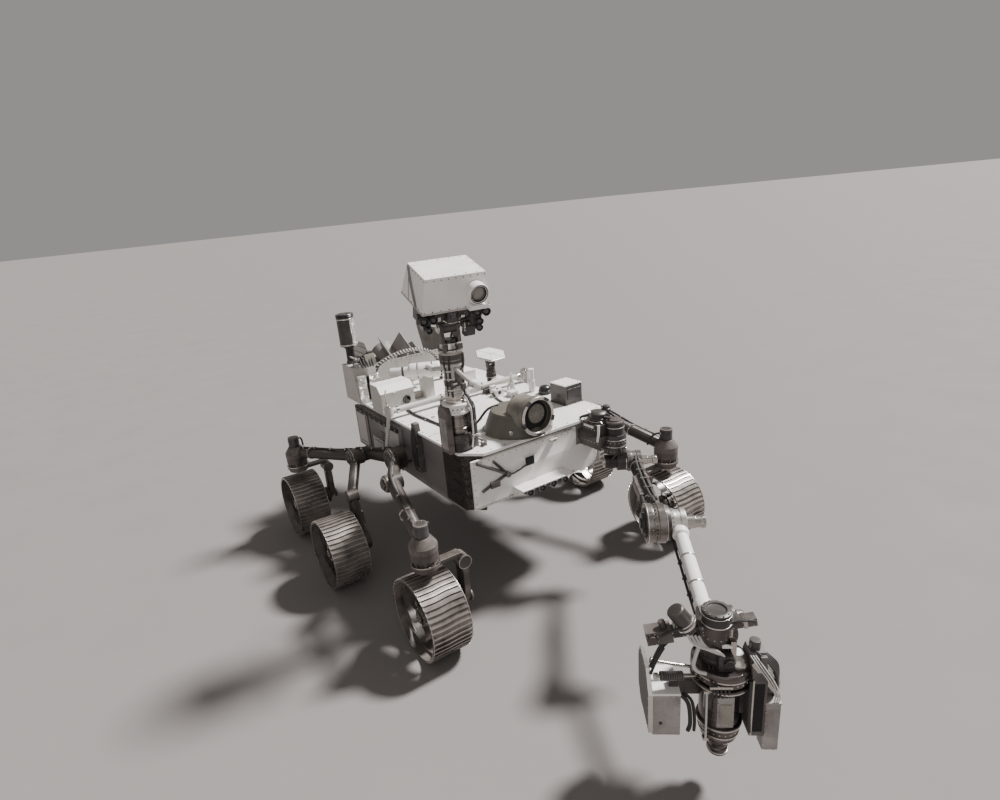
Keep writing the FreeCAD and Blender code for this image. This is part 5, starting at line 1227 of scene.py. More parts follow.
def head():
    """Instrument head: painted shell, window in a double ring, skirt, dial and edge strips."""
    shell = Bench("mast_head_made", "white paint", "mast_tilt", HEAD)
    low = box_outline(-215, -130, 215, 210)
    top = box_outline(-186, -94, 186, 174)
    def level(share):
        return [(a + (c - a) * share, b + (d - b) * share, 168 + 196 * share) for (a, b),
            (c, d) in zip(low, top)]
    points = level(0) + level(1)
    shell.keep(points, [(3, 2, 1, 0), (4, 5, 6, 7), (0, 1, 5, 4), (1, 2, 6, 5), (2, 3, 7, 6), (3, 0, 4, 7)])
    shell.block((84, 60, 6), (0, 0, 166))
    shell.of("pale paint")
    for a, b in zip(level(0.02), level(0.02)[1:] + level(0.02)[:1]):
        middle = (Vector(a) + Vector(b)) / 2
        along = abs(a[0] - b[0]) > 100
        shell.block((430 if along else 6, 6 if along else 340, 8), middle)
    shell.of("grey paint").pipe([(-217, -40, 176), (-207, 60, 268), (-191, 150, 356)], 9, 6, 4, 0.35)
    shell.pipe([(-214, 90, 176), (-196, 130, 300)], 5, 6, 4, 0.4)
    shell.of("bright ring").block((426, 4, 4), (0, -133.5, 170))
    def window(y):
        return 118, y, 260
    shell.of("white paint").lathe([(62, 60), (62, 4), (60, 0), (55, 0), (54, 3), (51, 3), (50, 0), (48, 0),
        (46, 8), (46, 30), (0, 30)], window(-164), BACK, 56)
    # Near-black rings between the window's rim and its glass: painted shade in the gap.
    shell.of("painted recess shade").band(55, 50.5, window(-164.5), window(-162), 56)
    shell.band(47.5, 43, window(-160), window(-150), 56)
    shell.of("window glass").lathe([(44, 0), (38, -4), (20, -7), (0, -8)], window(-146), BACK, 48)
    shell.of("white paint").slab([(74, 198), (162, 198), (178, 170), (60, 170)], -168, -124, "y")
    shell.of("black housing").lathe([(9, 0), (9, 5), (0, 5)], (118, -150, 214), FRONT, 20)
    shell.block((30, 30, 60), (-60, 150, 150))
    shell.of("black sleeve").pipe([(-120, 212, 200), (-100, 226, 150), (-40, 214, 110), (10, 140, 92)], 10)
    shell.pipe([(-60, 214, 210), (-50, 228, 160), (0, 210, 112), (30, 140, 92)], 8)
    shell.done(3.5, "mast_head")
    heads = Fasteners("head_screws", "dark coating", "mast_tilt", HEAD)
    walls = ((0, 1, (0, -1, 0), 9, (0, -1, 0.18)), (3, 2, (0, 1, 0), 9, (0, 1, 0.18)),
        (0, 3, (-0.5, 0, 0), 7, (-1, 0, 0.15)), (1, 2, (0.5, 0, 0), 7, (1, 0, 0.15)))
    for share in (0.07, 0.93):
        corners = [Vector(corner) for corner in level(share)]
        for first, last, out, count, facing in walls:
            inset = (corners[last] - corners[first]).normalized() * 10
            heads.row(corners[first] + inset + Vector(out), corners[last] - inset + Vector(out), count,
                facing, 3.6)
    heads.edge_of(box_outline(-172, -80, 172, 160), 364, "z", 62, UP, 3.8)
    heads.done()


def camera_bar():
    """Dark bar with its four barrels, middle hood, white-faced dial and small brackets."""
    bar = Bench("camera_bar_made", "black housing", "mast_tilt", HEAD)
    bar.slab([(-60, 74), (-60, 150), (-48, 166), (60, 166), (60, 74)], -200, 200)
    bar.of("dark coating").lathe(box_outline(0, 0, 34, 83.4), (-41.7, 0, 0), LEFT, 40)
    bar.slab(box_outline(-24, 0, 24, 80), -41.7, 41.7)
    for x in (-197, -139, 139, 197):
        bar.of("black housing").block((56, 24, 56), (x, -66, 120))
        bar.barrel(26 if abs(x) > 150 else 24, (x, -74, 120), 46)
    bar.of("white paint").lathe([(34, 0), (36, 3), (36, 12), (33, 15), (0, 15)], (176, -76, 192), FRONT, 40)
    bar.block((44, 70, 40), (176, -40, 190))
    bar.of("black housing").lathe([(11, 0), (11, 3), (0, 3)], (176, -91, 192), FRONT, 24)
    bar.block((74, 40, 84), (-6, -70, 116))
    bar.block((66, 14, 10), (-6, -94, 154))
    bar.blocks((8, 14, 60), (-38, -94, 124), (26, -94, 124))
    bar.of("lens glass").lathe([(22, 0), (16, 5), (0, 7)], (-6, -90, 122), FRONT)
    bar.of("black housing").block((116, 60, 74), (138, -28, 34))
    bar.block((70, 44, 60), (120, -44, -18))
    bar.barrel(22, (174, -50, 46), 40)
    bar.barrel(22, (176, -50, 2), 34)
    bar.barrel(18, (104, -58, 40), 24)
    bar.barrel(20, (-150, -40, 40), 44)
    bar.block((50, 50, 40), (-150, -20, 44))
    bar.of("bare metal").block((26, 8, 18), (66, -64, 92))
    bar.block((8, 30, 60), (80, -56, 20))
    bar.block((20, 8, 26), (-84, -64, 96))
    bar.drum(8, (96, -60, 150), (96, -72, 150), 16)
    bar.pipe([(48, -64, 84), (20, -82, 70), (-30, -82, 70), (-60, -64, 84)], 4)
    bar.of("black sleeve").pipe([(120, -60, 84), (80, -70, 70), (30, -50, 60), (20, -26, 50)], 6)
    bar.pipe([(-120, -60, 84), (-90, -72, 66), (-40, -50, 56), (-24, -26, 46)], 6)
    bar.done(1.6, "camera_bar")
    heads = Fasteners("camera_bar_screws", body="mast_tilt", at=HEAD)
    heads.row((-190, -61, 152), (-60, -61, 152), 6, FRONT, 3.2)
    heads.row((60, -61, 152), (140, -61, 152), 4, FRONT, 3.2)
    heads.row((-190, -61, 84), (190, -61, 84), 13, FRONT, 3.2)
    heads.done()


def antenna():
    """Base drive, turning yoke and the flat six-sided dish."""
    base = Bench("antenna_base_made", "dark coating", at=about(GROUND @ Vector((424, 265, DECK_TOP))))
    base.lathe([(0, 0), (46, 0), (46, 8), (40, 12), (40, 60), (45, 64), (45, 90), (42, 96), (0, 96)],
        sides=40)
    base.of("white paint").block((58, 26, 44), (0, -48, 30))
    base.of("black housing").drum(12, (0, -60, 34), (0, -68, 34), 20)
    base.of("bare metal").collar(48, 44, 60, 66, 40)
    base.of("black sleeve").pipe([(34, -52, 20), (56, -40, 12), (70, 0, 9), (90, 40, 9)], 5)
    base.done(1, "antenna_base")
    yoke = Bench("antenna_yoke_made", "dark coating", "antenna_pan", YOKE)
    yoke.lathe([(0, 0.3), (40, 0.3), (40, 24), (36, 27), (36, 50), (38, 54), (38, 60), (0, 60)], sides=40)
    for sign in (-1, 1):
        yoke.slab([(-20, 56), (20, 56), (18, 104), (10, 119), (-10, 119), (-18, 104)], 22.2 * sign,
            35.8 * sign)
        yoke.lathe([(19, 0), (19, 4), (10, 6), (0, 6)], (35 * sign, 0, 100), (sign, 0, 0), 28)
    yoke.of("bare metal").lathe([(16, 0), (18, 2), (18, 30), (0, 32)], (39, 0, 100), LEFT, 28)
    yoke.done(0.8, "antenna_yoke")
    dish = Bench("antenna_dish_made", "deck paint", "antenna_tilt", DISH)
    side = 134 * 0.87 / math.cos(math.radians(30))
    hexagon = [polar(side, angle) for angle in range(0, 360, 60)]
    dish.slab(hexagon, 54, 71, "z")
    dish.of("bright ring")
    for (a, b), (c, d) in zip(hexagon, hexagon[1:] + hexagon[:1]):
        dish.pipe([(a * 0.99, b * 0.99, 62), (c * 0.99, d * 0.99, 62)], 5.5, 8, 1)
    dish.of("pale paint")
    for angle in (0, 60, 120):
        dish.block((side * 1.9, 3, 2), (0, 0, 71.5), turn("Z", angle))
    dish.of("dark coating").drum(20, (-21.7, 0, 0), (21.7, 0, 0), 28)
    dish.drum(14, (0, 0, 0), (0, 0, 52), 24)
    dish.slab([(10, 38), (10, 54), (96, 54), (96, 50)], -2, 2, "y")
    dish.lathe([(60, 0), (60, 6), (0, 6)], (0, 0, 48), sides=40)
    dish.done(0.8, "antenna_dish")
    heads = Fasteners("dish_screws", body="antenna_tilt", at=DISH)
    heads.edge_of([(a * 0.9, b * 0.9) for a, b in hexagon], 71, "z", 32, UP, 2.6)
    heads.ring((0, 0, 71), UP, 30, 6, 2.6)
    heads.done()


mast_base()
mast_tube()
neck()
head()
camera_bar()
antenna()


# Rear: relay antenna on its rack, cable tray, power source and its plates.

def relay():
    """Foil-wrapped relay antenna on a dark stem with a slotted cap."""
    at = about(GROUND @ Vector((-578, 875, 1408)))
    can = Bench("relay_antenna_made", "dark coating", at=at)
    can.lathe([(0, 0), (40, 0), (40, 20), (34, 24), (34, 128), (40, 132), (40, 150), (0, 150)], sides=40)
    can.lathe([(0, 148), (60, 148), (71, 152), (71, 396), (0, 396)], sides=56)
    can.of("black housing").lathe([(0, 398), (76, 398), (76, 404), (72, 408), (72, 414), (76, 416), (70, 422),
        (0, 422)], sides=56)
    can.of("silver blanket")
    for i in range(14):
        angle = 12 * i - 75
        lean = (i * 37) % 9 - 4
        can.block((17, 5, 238), (*polar(71, angle), 272),
            turn("Z", angle + 90 + lean * 2) @ turn("Y", lean * 0.5))
    for level in (160, 376):
        can.of("bare metal").collar(74.5, 70, level, level + 10, 48)
    can.of("black sleeve").pipe([(-30, -46, 4), (-40, -50, 60), (-36, -52, 120), (-44, -58, 160)], 7)
    can.done(0.8, "relay_antenna")
    heads = Fasteners("relay_screws", at=at)
    heads.ring((0, 0, 422), UP, 62, 12, 4)
    heads.ring((0, 0, 10), UP, 39.5, 10, 4, "out")
    heads.done()


RACK = about(GROUND @ Vector((-550, 0, 0)))


def rack():
    """Foil box and the clutter of boxes, brackets and harness on it."""
    dress("rear_rack", "pale paint", 4, lambda at, facing: "dark coating" if at.y > 820 else None)
    box = Bench("rack_gear", "silver blanket", at=RACK)
    box.slab([(618, 1110), (612, 1180), (617, 1250), (613, 1330), (640, 1345), (640, 1110)], -96, -20)
    box.slab([(618, 1110), (614, 1190), (611, 1262), (618, 1340), (640, 1345), (640, 1110)], 4, 96)
    # Near-black slot down the foil box's front: painted shade.
    box.of("painted recess shade").block((22, 10, 200), (-8, 628, 1230))
    box.of("dark coating").block((150, 60, 44), (10, 735, 1430))
    box.block((70, 90, 60), (56, 810, 1438))
    box.block((40, 40, 110), (80, 720, 1460))
    box.of("grey paint").block((60, 46, 34), (-50, 690, 1424))
    box.slab([(690, 1408), (690, 1470), (700, 1478), (860, 1478), (860, 1470), (700, 1462), (700, 1408)], -60,
        -44)
    box.of("olive plate").slab([(640, 1408), (668, 1500), (676, 1500), (652, 1408)], 12, 100)
    box.of("black sleeve")
    for shift in range(5):
        box.pipe([(-20 + shift * 22, 640, 1400), (-30 + shift * 24, 668, 1450 + shift * 6),
            (-10 + shift * 18, 740, 1470 + shift * 5), (shift * 10, 800, 1440)], 7)
    box.of("bare metal")
    for shift in range(3):
        box.block((26, 12, 16), (-40 + shift * 50, 664, 1420))
        box.drum(10, (-30 + shift * 44, 700, 1452), (-30 + shift * 44, 700, 1474), 16)
    box.pipe([(100, 640, 1130), (104, 660, 1240), (102, 700, 1360), (92, 730, 1440)], 5)
    box.done(1.2)
    heads = Fasteners("rack_screws", at=RACK)
    heads.edge_of(box_outline(-90, 1120, -30, 1330), 612, "y", 40, FRONT, 3.4)
    for face, facing in ((101, LEFT), (-101, RIGHT)):
        heads.edge_of([(640, 1120), (900, 1120), (900, 1390), (690, 1390)], face, "x", 50, facing, 3.6)
    heads.done()


def tray():
    """Arched cable tray from the rack across to the power source, with dark links."""
    path = [(-452, 690, 1330), (-420, 700, 1376), (-330, 712, 1412), (-200, 724, 1440), (-60, 736, 1440),
        (60, 746, 1410), (150, 752, 1350), (196, 756, 1250), (204, 758, 1112)]
    rails = Bench("cable_tray", "dark coating")
    for shift in (-26, 26):
        rails.pipe([(x, y + shift, z) for x, y, z in path], 4.5, 8, 6)
    rails.of("bare metal").pipe([(-240, 706, 1436), (-246, 690, 1300), (-250, 680, 1112)], 7)
    rails.pipe([(-120, 716, 1424), (-122, 700, 1290), (-120, 690, 1112)], 7)
    rails.blocks((60, 60, 8), (-250, 680, 1112), (-120, 690, 1112))
    rails.of("black sleeve")
    for shift in (-14, 0, 14):
        rails.pipe([(x, y + shift, z - 3) for x, y, z in path], 6.5, 8, 6)
    rails.done()
    links("tray_links", "pale paint", path, pitch=0.03, radius=0.036, sides=4, length=0.009,
        flatten=(1.0, 0.45, 1.0))


def power():
    """Finned power source leaning between two piped plates."""
    def zones(at, facing):
        return "bare metal" if (at.y - 1075) ** 2 + (at.z - 1010) ** 2 < 20 else None
    dress("power_source", "grey paint", 2, zones)
    dress("power_mount", "dark coating", 2)
    def plate_zones(at, facing):
        return "pale paint" if abs(at.x) > 376 or at.y < 905 else None
    dress("power_plates", "shroud paint", 2, plate_zones)
    pipes = Bench("plate_pipes", "bare metal")
    for sign in (-1, 1):
        # Seven levels there and back, kept inside the plate's slanting ends.
        run = []
        for i in range(7):
            reach = (950, 1330) if i % 2 == 0 else (1330, 950)
            for y in reach:
                level = 1130 + 56 * i
                y = min(max(y, 930 + max(0, i - 4) * 30), 1010 + 56 * i + 40 if i < 5 else 1400)
                run.append((383 * sign, y, level))
        pipes.of("bare metal").pipe(run, 6, 8, 5)
        pipes.of("pale paint").slab([(905, 990), (1010, 1030), (1290, 1110), (1300, 1098), (1016, 1018),
            (905, 976)], 377 * sign, 384 * sign)
    for sign in (-1, 1):
        pipes.of("black sleeve").pipe(mirrored([(200, 896, 1120), (160, 930, 1150), (120, 960, 1100),
            (90, 980, 1040)], sign), 12)
    pipes.done()
    heads = Fasteners("plate_screws", "dark coating")
    for sign in (-1, 1):
        heads.row((378 * sign, 925, 990), (378 * sign, 925, 1330), 9, (sign, 0, 0), 5)
        heads.row((378 * sign, 1060, 1505), (378 * sign, 1440, 1505), 9, (sign, 0, 0), 5)
    for level in (1190, 1340):
        heads.row((-350, 899, level), (350, 899, level), 15, FRONT, 5)
    heads.done()
    dress("low_gain_antenna", "white paint", 1.5)
    stub = Bench("low_gain_trim", "bright ring", at=about(GROUND @ Vector((505, 190, DECK_TOP))))
    stub.collar(24, 21, 30, 38)
    stub.lathe([(30, 0), (30, 3), (24, 6)])
    stub.done()


relay()
rack()
tray()
power()


# Arm: bracket, shoulder, two tubes, wrist and the tool turret.

def bracket():
    """Shoulder bracket with the arm's first drive and the instruments beside it."""
    dress("shoulder_bracket", "dark coating", 3)
    gear = Bench("shoulder_gear", "bright ring")
    def on_axis(level):
        return 431, -1164, level
    gear.band(78.5, 70, on_axis(1000), on_axis(1005), 56)
    gear.band(66, 60, on_axis(1084), on_axis(1090), 48)
    gear.of("brown coating").lathe([(58, 0), (58, 5), (44, 8), (42, 16), (26, 18), (0, 18)], on_axis(1119),
        sides=40)
    gear.of("white paint").pipe([(306, -1144, 1116), (300, -1148, 1060), (298, -1140, 1000)], 9, 10, 4)
    gear.block((10, 90, 16), (299, -1060, 1095))
    gear.of("dark coating").lathe([(66, 0), (66, 30), (60, 34), (60, 60), (50, 70), (30, 74), (0, 74)],
        (384, -1060, DECK_TOP), sides=44)
    gear.of("bright ring").band(68, 62, (384, -1060, 1116), (384, -1060, 1121), 44)
    gear.drum(6, (330, -1010, 1190), (352, -1130, 1112), 16)
    gear.of("bare metal").block((44, 60, 8), (350, -1030, 1113))
    gear.block((30, 26, 34), (420, -1010, 1126))
    for x, y, top in ((350, -1050, 1140), (380, -1020, 1136)):
        gear.drum(9, (x, y, 1112), (x, y, top), 18)
    gear.slab([(-1040, 1109), (-1000, 1109), (-1012, 1160), (-1030, 1160)], 474, 480)
    gear.of("dark coating").lathe([(28, 0), (30, 3), (30, 14), (24, 18), (22, 34), (14, 37), (0, 37)],
        (451, -1069, 1170))
    for offset in (312, 350, 390, 430, 470):
        gear.block((6, 200, 56), (offset, -1056, 962))
    gear.of("black sleeve").pipe([(330, -940, 1116), (340, -985, 1140), (352, -1050, 1160),
        (380, -1110, 1150), (410, -1150, 1142)], 9)
    gear.pipe([(400, -940, 1116), (404, -990, 1152), (412, -1060, 1168), (424, -1120, 1152)], 7)
    gear.pipe([(470, -1090, 1150), (486, -1140, 1110), (490, -1180, 1050), (478, -1215, 990)], 8)
    gear.of("white sleeve").pipe([(360, -950, 1114), (366, -1000, 1130), (392, -1040, 1122),
        (400, -1080, 1112)], 5)
    gear.done(0.8)
    heads = Fasteners("shoulder_screws")
    heads.ring(on_axis(1124), UP, 51, 14, 4)
    heads.ring(on_axis(986), UP, 75.5, 18, 4.4, "out")
    for back, level, count in ((-1000, 1075, 6), (-960, 985, 7)):
        heads.row((300.5, -1140, level), (300.5, back, level), count, RIGHT, 4.4)
    heads.edge_of(box_outline(312, -1140, 380, -1000), 1109, "z", 44, UP, 4)
    heads.done()


def shoulder_stage():
    """Turning stage between the bracket and the upper arm."""
    dress("shoulder_stage", "dark coating", 2)
    stage = Bench("shoulder_stage_trim", "bright ring", "arm_swing", SWING)
    stage.collar(78, 70, 128, 133, 56)
    stage.band(64, 58, (66, 0, 0), (71, 0, 0), 48)
    stage.of("bare metal").lathe([(44, 0), (44, 5), (30, 8), (28, 14), (0, 14)], (-70, 0, 0), RIGHT, 36)
    stage.of("black sleeve").pipe([(-30, -46, 10), (-20, -62, 50), (10, -70, 90), (30, -74, 120)], 8)
    stage.pipe([(20, 60, 20), (10, 72, 60), (-20, 72, 110)], 7)
    stage.done()
    heads = Fasteners("shoulder_stage_screws", body="arm_swing", at=SWING)
    heads.ring((-84, 0, 0), RIGHT, 21, 6, 3.4)
    heads.ring((0, 0, 100), UP, 75.5, 20, 4.2, "out")
    heads.done()


ELBOW = -882  # the elbow drum's axis along the upper arm


def upper_arm():
    """Shoulder drum, pale tube with its flat cable box, and the large elbow drum."""
    arm = Bench("upper_arm_made", "brushed drum", "arm_upper", UPPER)
    arm.lathe([(0, 0), (66, 0), (70, 3), (70, 30), (66, 33), (66, 62), (70, 65), (70, 92), (66, 97.7),
        (0, 97.7)], (74.3, 0, 0), LEFT, 56)
    arm.of("bare metal").lathe([(30, 0), (30, 40), (26, 42), (26, 70), (30, 74), (30, 100), (24, 106),
        (0, 106)], (172, 0, 0), LEFT, 36)
    arm.of("brown coating").lathe([(50, 60), (50, 96), (42, 104), (42, 740), (50, 750), (50, 800)],
        (124, 0, 0), FRONT, 48)
    arm.of("bright ring")
    for place in (118, 300, 610, 728):
        arm.band(44.5, 40, (124, -place, 0), (124, -place - 12, 0), 44)
    arm.of("dark coating").slab([(-325, -33), (-325, 33), (-595, 33), (-595, -33)], 65, 99)
    arm.of("grey paint").slab([(-340, -25), (-340, 25), (-580, 25), (-580, -25)], 62.5, 66)
    arm.of("brushed drum").lathe([(0, 0), (100, 0), (108, 6), (108, 34), (103, 38), (103, 60), (108, 64),
        (108, 100), (0, 100)], (40, ELBOW, 0), LEFT, 72)
    arm.of("dark coating").lathe([(0, 0), (96, 0), (96, 18), (92, 26), (0, 26)], (140, ELBOW, 0), LEFT, 64)
    arm.of("bright ring").band(110.5, 104, (44, ELBOW, 0), (49, ELBOW, 0), 72)
    arm.band(98.5, 92, (143, ELBOW, 0), (148, ELBOW, 0), 72)
    arm.of("black housing").lathe([(84, 0), (84, 5), (60, 8), (56, 18), (30, 20), (28, 27), (0, 27)],
        (40, ELBOW, 0), RIGHT, 48)
    arm.of("black sleeve").pipe([(124, -70, 62), (116, -150, 56), (110, -300, 54), (108, -480, 54),
        (112, -660, 56), (104, -790, 98), (96, -850, 112)], 8)
    arm.pipe([(138, -80, 60), (134, -200, 52), (134, -420, 51), (134, -640, 52), (124, -780, 92)], 6)
    arm.pipe([(76, -600, 20), (70, -680, 30), (60, -770, 60), (56, -820, 96)], 9)
    for place in (170, 290, 420, 550, 680):
        arm.of("bare metal").block((50, 10, 10), (120, -place, 58))
        arm.block((10, 10, 18), (144, -place, 50))
    arm.done(0.8, "upper_arm")
    heads = Fasteners("upper_arm_screws", "dark coating", "arm_upper", UPPER)
    heads.ring((32, ELBOW, 0), RIGHT, 72, 18, 4.2)
    heads.ring((90, ELBOW, 0), LEFT, 106.5, 28, 4.6, "out")
    heads.ring((88, 0, 0), LEFT, 69.5, 18, 4.2, "out")
    for up in (-27, 27):
        heads.row((62, -335, up), (62, -585, up), 8, RIGHT, 3.2)
    heads.done()


def forearm():
    """Elbow knuckle, white tube and the wrist fork's drum."""
    arm = Bench("forearm_made", "bright ring", "arm_fore", FORE)
    arm.lathe([(0, 0), (72, 0), (76, 3), (76, 24), (70, 28), (70, 52), (76, 56), (76, 80), (72, 83.7),
        (0, 83.7)], (166.3, 0, 0), LEFT, 56)
    arm.of("bare metal").lathe([(36, 0), (36, 52), (32, 54), (32, 82), (36, 86), (36, 102), (30, 106),
        (0, 106)], (250, 0, 0), LEFT, 40)
    arm.of("white paint").lathe([(44, 66), (44, 100), (35, 112), (35, 520), (42, 532), (42, 575)],
        (210, 0, 0), FRONT, 48)
    arm.of("brown coating").lathe([(0, 0), (48, 0), (52, 3), (52, 26), (48, 29), (48, 53), (52, 56), (52, 79),
        (48, 82), (0, 82)], (170, -615, 0), LEFT, 48)
    arm.of("bare metal").band(37.5, 34, (210, -250, 0), (210, -258, 0), 40)
    arm.band(37.5, 34, (210, -420, 0), (210, -428, 0), 40)
    arm.of("black sleeve").pipe([(178, -60, -56), (172, -140, -40), (172, -300, -38), (172, -460, -38),
        (176, -560, -46)], 7)
    arm.pipe([(184, -64, -60), (188, -160, -44), (188, -330, -42), (186, -500, -44)], 5)
    arm.of("dark coating")
    for place in (150, 250, 350, 450):
        arm.block((12, 12, 26), (180, -place, -32))
        arm.block((34, 10, 8), (180, -place, -46))
    arm.done(0.8, "forearm")
    heads = Fasteners("forearm_screws", "dark coating", "arm_fore", FORE)
    heads.ring((178, 0, 0), LEFT, 75.5, 20, 4.4, "out")
    heads.ring((210, -615, 0), LEFT, 48, 12, 3.6, "out")
    heads.done()
    dress("wrist", "brushed drum", 2)
    fit = Bench("wrist_fittings", "black housing", "arm_wrist", WRIST)
    fit.lathe([(30, 0), (30, 5), (20, 8), (0, 8)], (364, 0, 0), LEFT)
    fit.of("bright ring").band(58, 52, (258, 0, 0), (263, 0, 0), 44)
    fit.band(68, 62, (210, -75, 0), (210, -79, 0), 48)
    fit.of("black sleeve").pipe([(330, 0, 34), (320, -40, 52), (280, -70, 66), (240, -84, 70)], 6)
    fit.done()
    heads = Fasteners("wrist_screws", "dark coating", "arm_wrist", WRIST)
    heads.ring((290, 0, 0), LEFT, 55.5, 12, 4, "out")
    heads.done()


# The drill is drawn about its own axis, and the boxes beside it from its depth.
BARREL = WRIST @ Matrix.Translation((*TURRET, 0))
BOXES = WRIST @ Matrix.Translation((0, TURRET[1], 0))


def drill():
    """Coring drill: stepped barrel, grooved collar, offset neck with its cap, and the nose with its chuck."""
    form = Bench("turret_drill_made", "barrel metal", "turret", BARREL)
    form.lathe([(0, -418), (74, -418), (78, -412), (84, -400), (84, -350), (93, -348), (93, -334), (84, -332),
        (84, -120), (120, -120), (122, -118), (122, -106), (119, -104), (93, -104), (93, -90), (119, -90),
        (122, -87), (122, -34), (116, -28), (0, -28)], sides=72)
    form.lathe([(14, -538), (38, -538), (44, -530), (44, -500), (40, -496), (40, -480), (44, -476),
        (58, -448), (76, -424), (76, -416), (0, -416), (0, -478), (14, -478), (14, -538)], sides=56)
    form.of("bright ring")
    for radius, level in ((123.5, -116), (123.5, -60), (94.5, -342), (86, -392), (45.5, -520)):
        form.collar(radius, radius - 6, level - 3, level + 3, 72)
    form.of("brown coating").lathe([(0, -30), (56, -30), (56, -10), (52, -6), (52, 60), (56, 64), (56, 140),
        (50, 152), (0, 152)], (-28, 0, 0), sides=56)
    form.of("dark coating").lathe([(0, 150), (54, 150), (60, 154), (60, 196), (56, 200), (56, 206), (60, 210),
        (58, 216), (48, 220), (40, 220), (36, 214), (0, 214)], (-28, 0, 0), sides=56)
    form.of("bright ring").band(62, 56, (-28, 0, 158), (-28, 0, 164), 56)
    form.band(61.5, 56, (-28, 0, 201), (-28, 0, 205), 56)
    form.of("bare metal").lathe([(0, -60), (44, -60), (52, -50), (56, -30), (50, -6), (34, 10), (12, 16),
        (0, 16)], (58, -20, 0), sides=44)
    form.block((24, 30, 90), (30, -40, 50))
    form.block((20, 16, 150), (32, 6, 96))
    form.of("white paint").lathe([(24, 0), (24, 4), (0, 5)], (58, -20, 14))
    form.block((40, 10, 12), (2, -58, 76))
    form.of("grey paint").slab(box_outline(-34, -320, 34, -160), -88, -60, "y")
    form.of("olive plate").slab(box_outline(-26, -300, 26, -196), -91, -86, "y")
    form.of("black housing").block((60, 40, 70), (-6, -66, 8))
    form.lathe([(20, 0), (20, 10), (13, 12), (0, 12)], (4, -86, 12), FRONT, 28)
    form.block((30, 24, 120), (-66, -58, -180))
    form.block((20, 26, 150), (76, -40, -200))
    form.of("white sleeve").pipe([(-80, -92, -128), (-79, -94, -250), (-78, -92, -380)], 4.5, 10, 5)
    form.pipe([(-96, -40, 96), (-116, -66, 66), (-128, -74, 30), (-132, -76, -4), (-116, -78, -30),
        (-82, -84, -38)], 8, 12, 7)
    for shift in range(4):
        form.pipe([(-150 + shift * 15, -34, 118 - shift * 2), (-132 + shift * 15, -56, 92 - shift * 3),
            (-90 + shift * 13, -66, 74 - shift * 6), (-42 + shift * 8, -72, 68 - shift * 8),
            (-6 + shift * 3, -76, 34 - shift * 6)], 5.5, 10, 6)
    form.of("black sleeve")
    for shift in range(5):
        form.pipe([(-62 + shift * 14, -48, -20), (-70 + shift * 17, -92, -46), (-66 + shift * 16, -124, -80),
            (-64 + shift * 15, -112, -128), (-60 + shift * 14, -92, -152)], 5.5, 8, 6)
    form.of("bare metal").block((90, 8, 12), (-34, -124, -74))
    form.block((24, 22, 14), (-80, -84, -128))
    form.block((24, 22, 14), (-78, -84, -380))
    form.done(0.8, "turret_drill")
    heads = Fasteners("drill_screws", body="turret", at=BARREL)
    heads.ring((0, 0, -74), UP, 121, 30, 4.4, "out")
    heads.ring((0, 0, -372), UP, 83, 22, 4.2, "out")
    heads.ring((-28, 0, 220), UP, 53, 12, 3.6)
    heads.ring((-28, 0, 100), UP, 55, 14, 4, "out")
    heads.edge_of(box_outline(-30, -316, 30, -166), -88.5, "y", 44, FRONT, 3.2)
    heads.done()


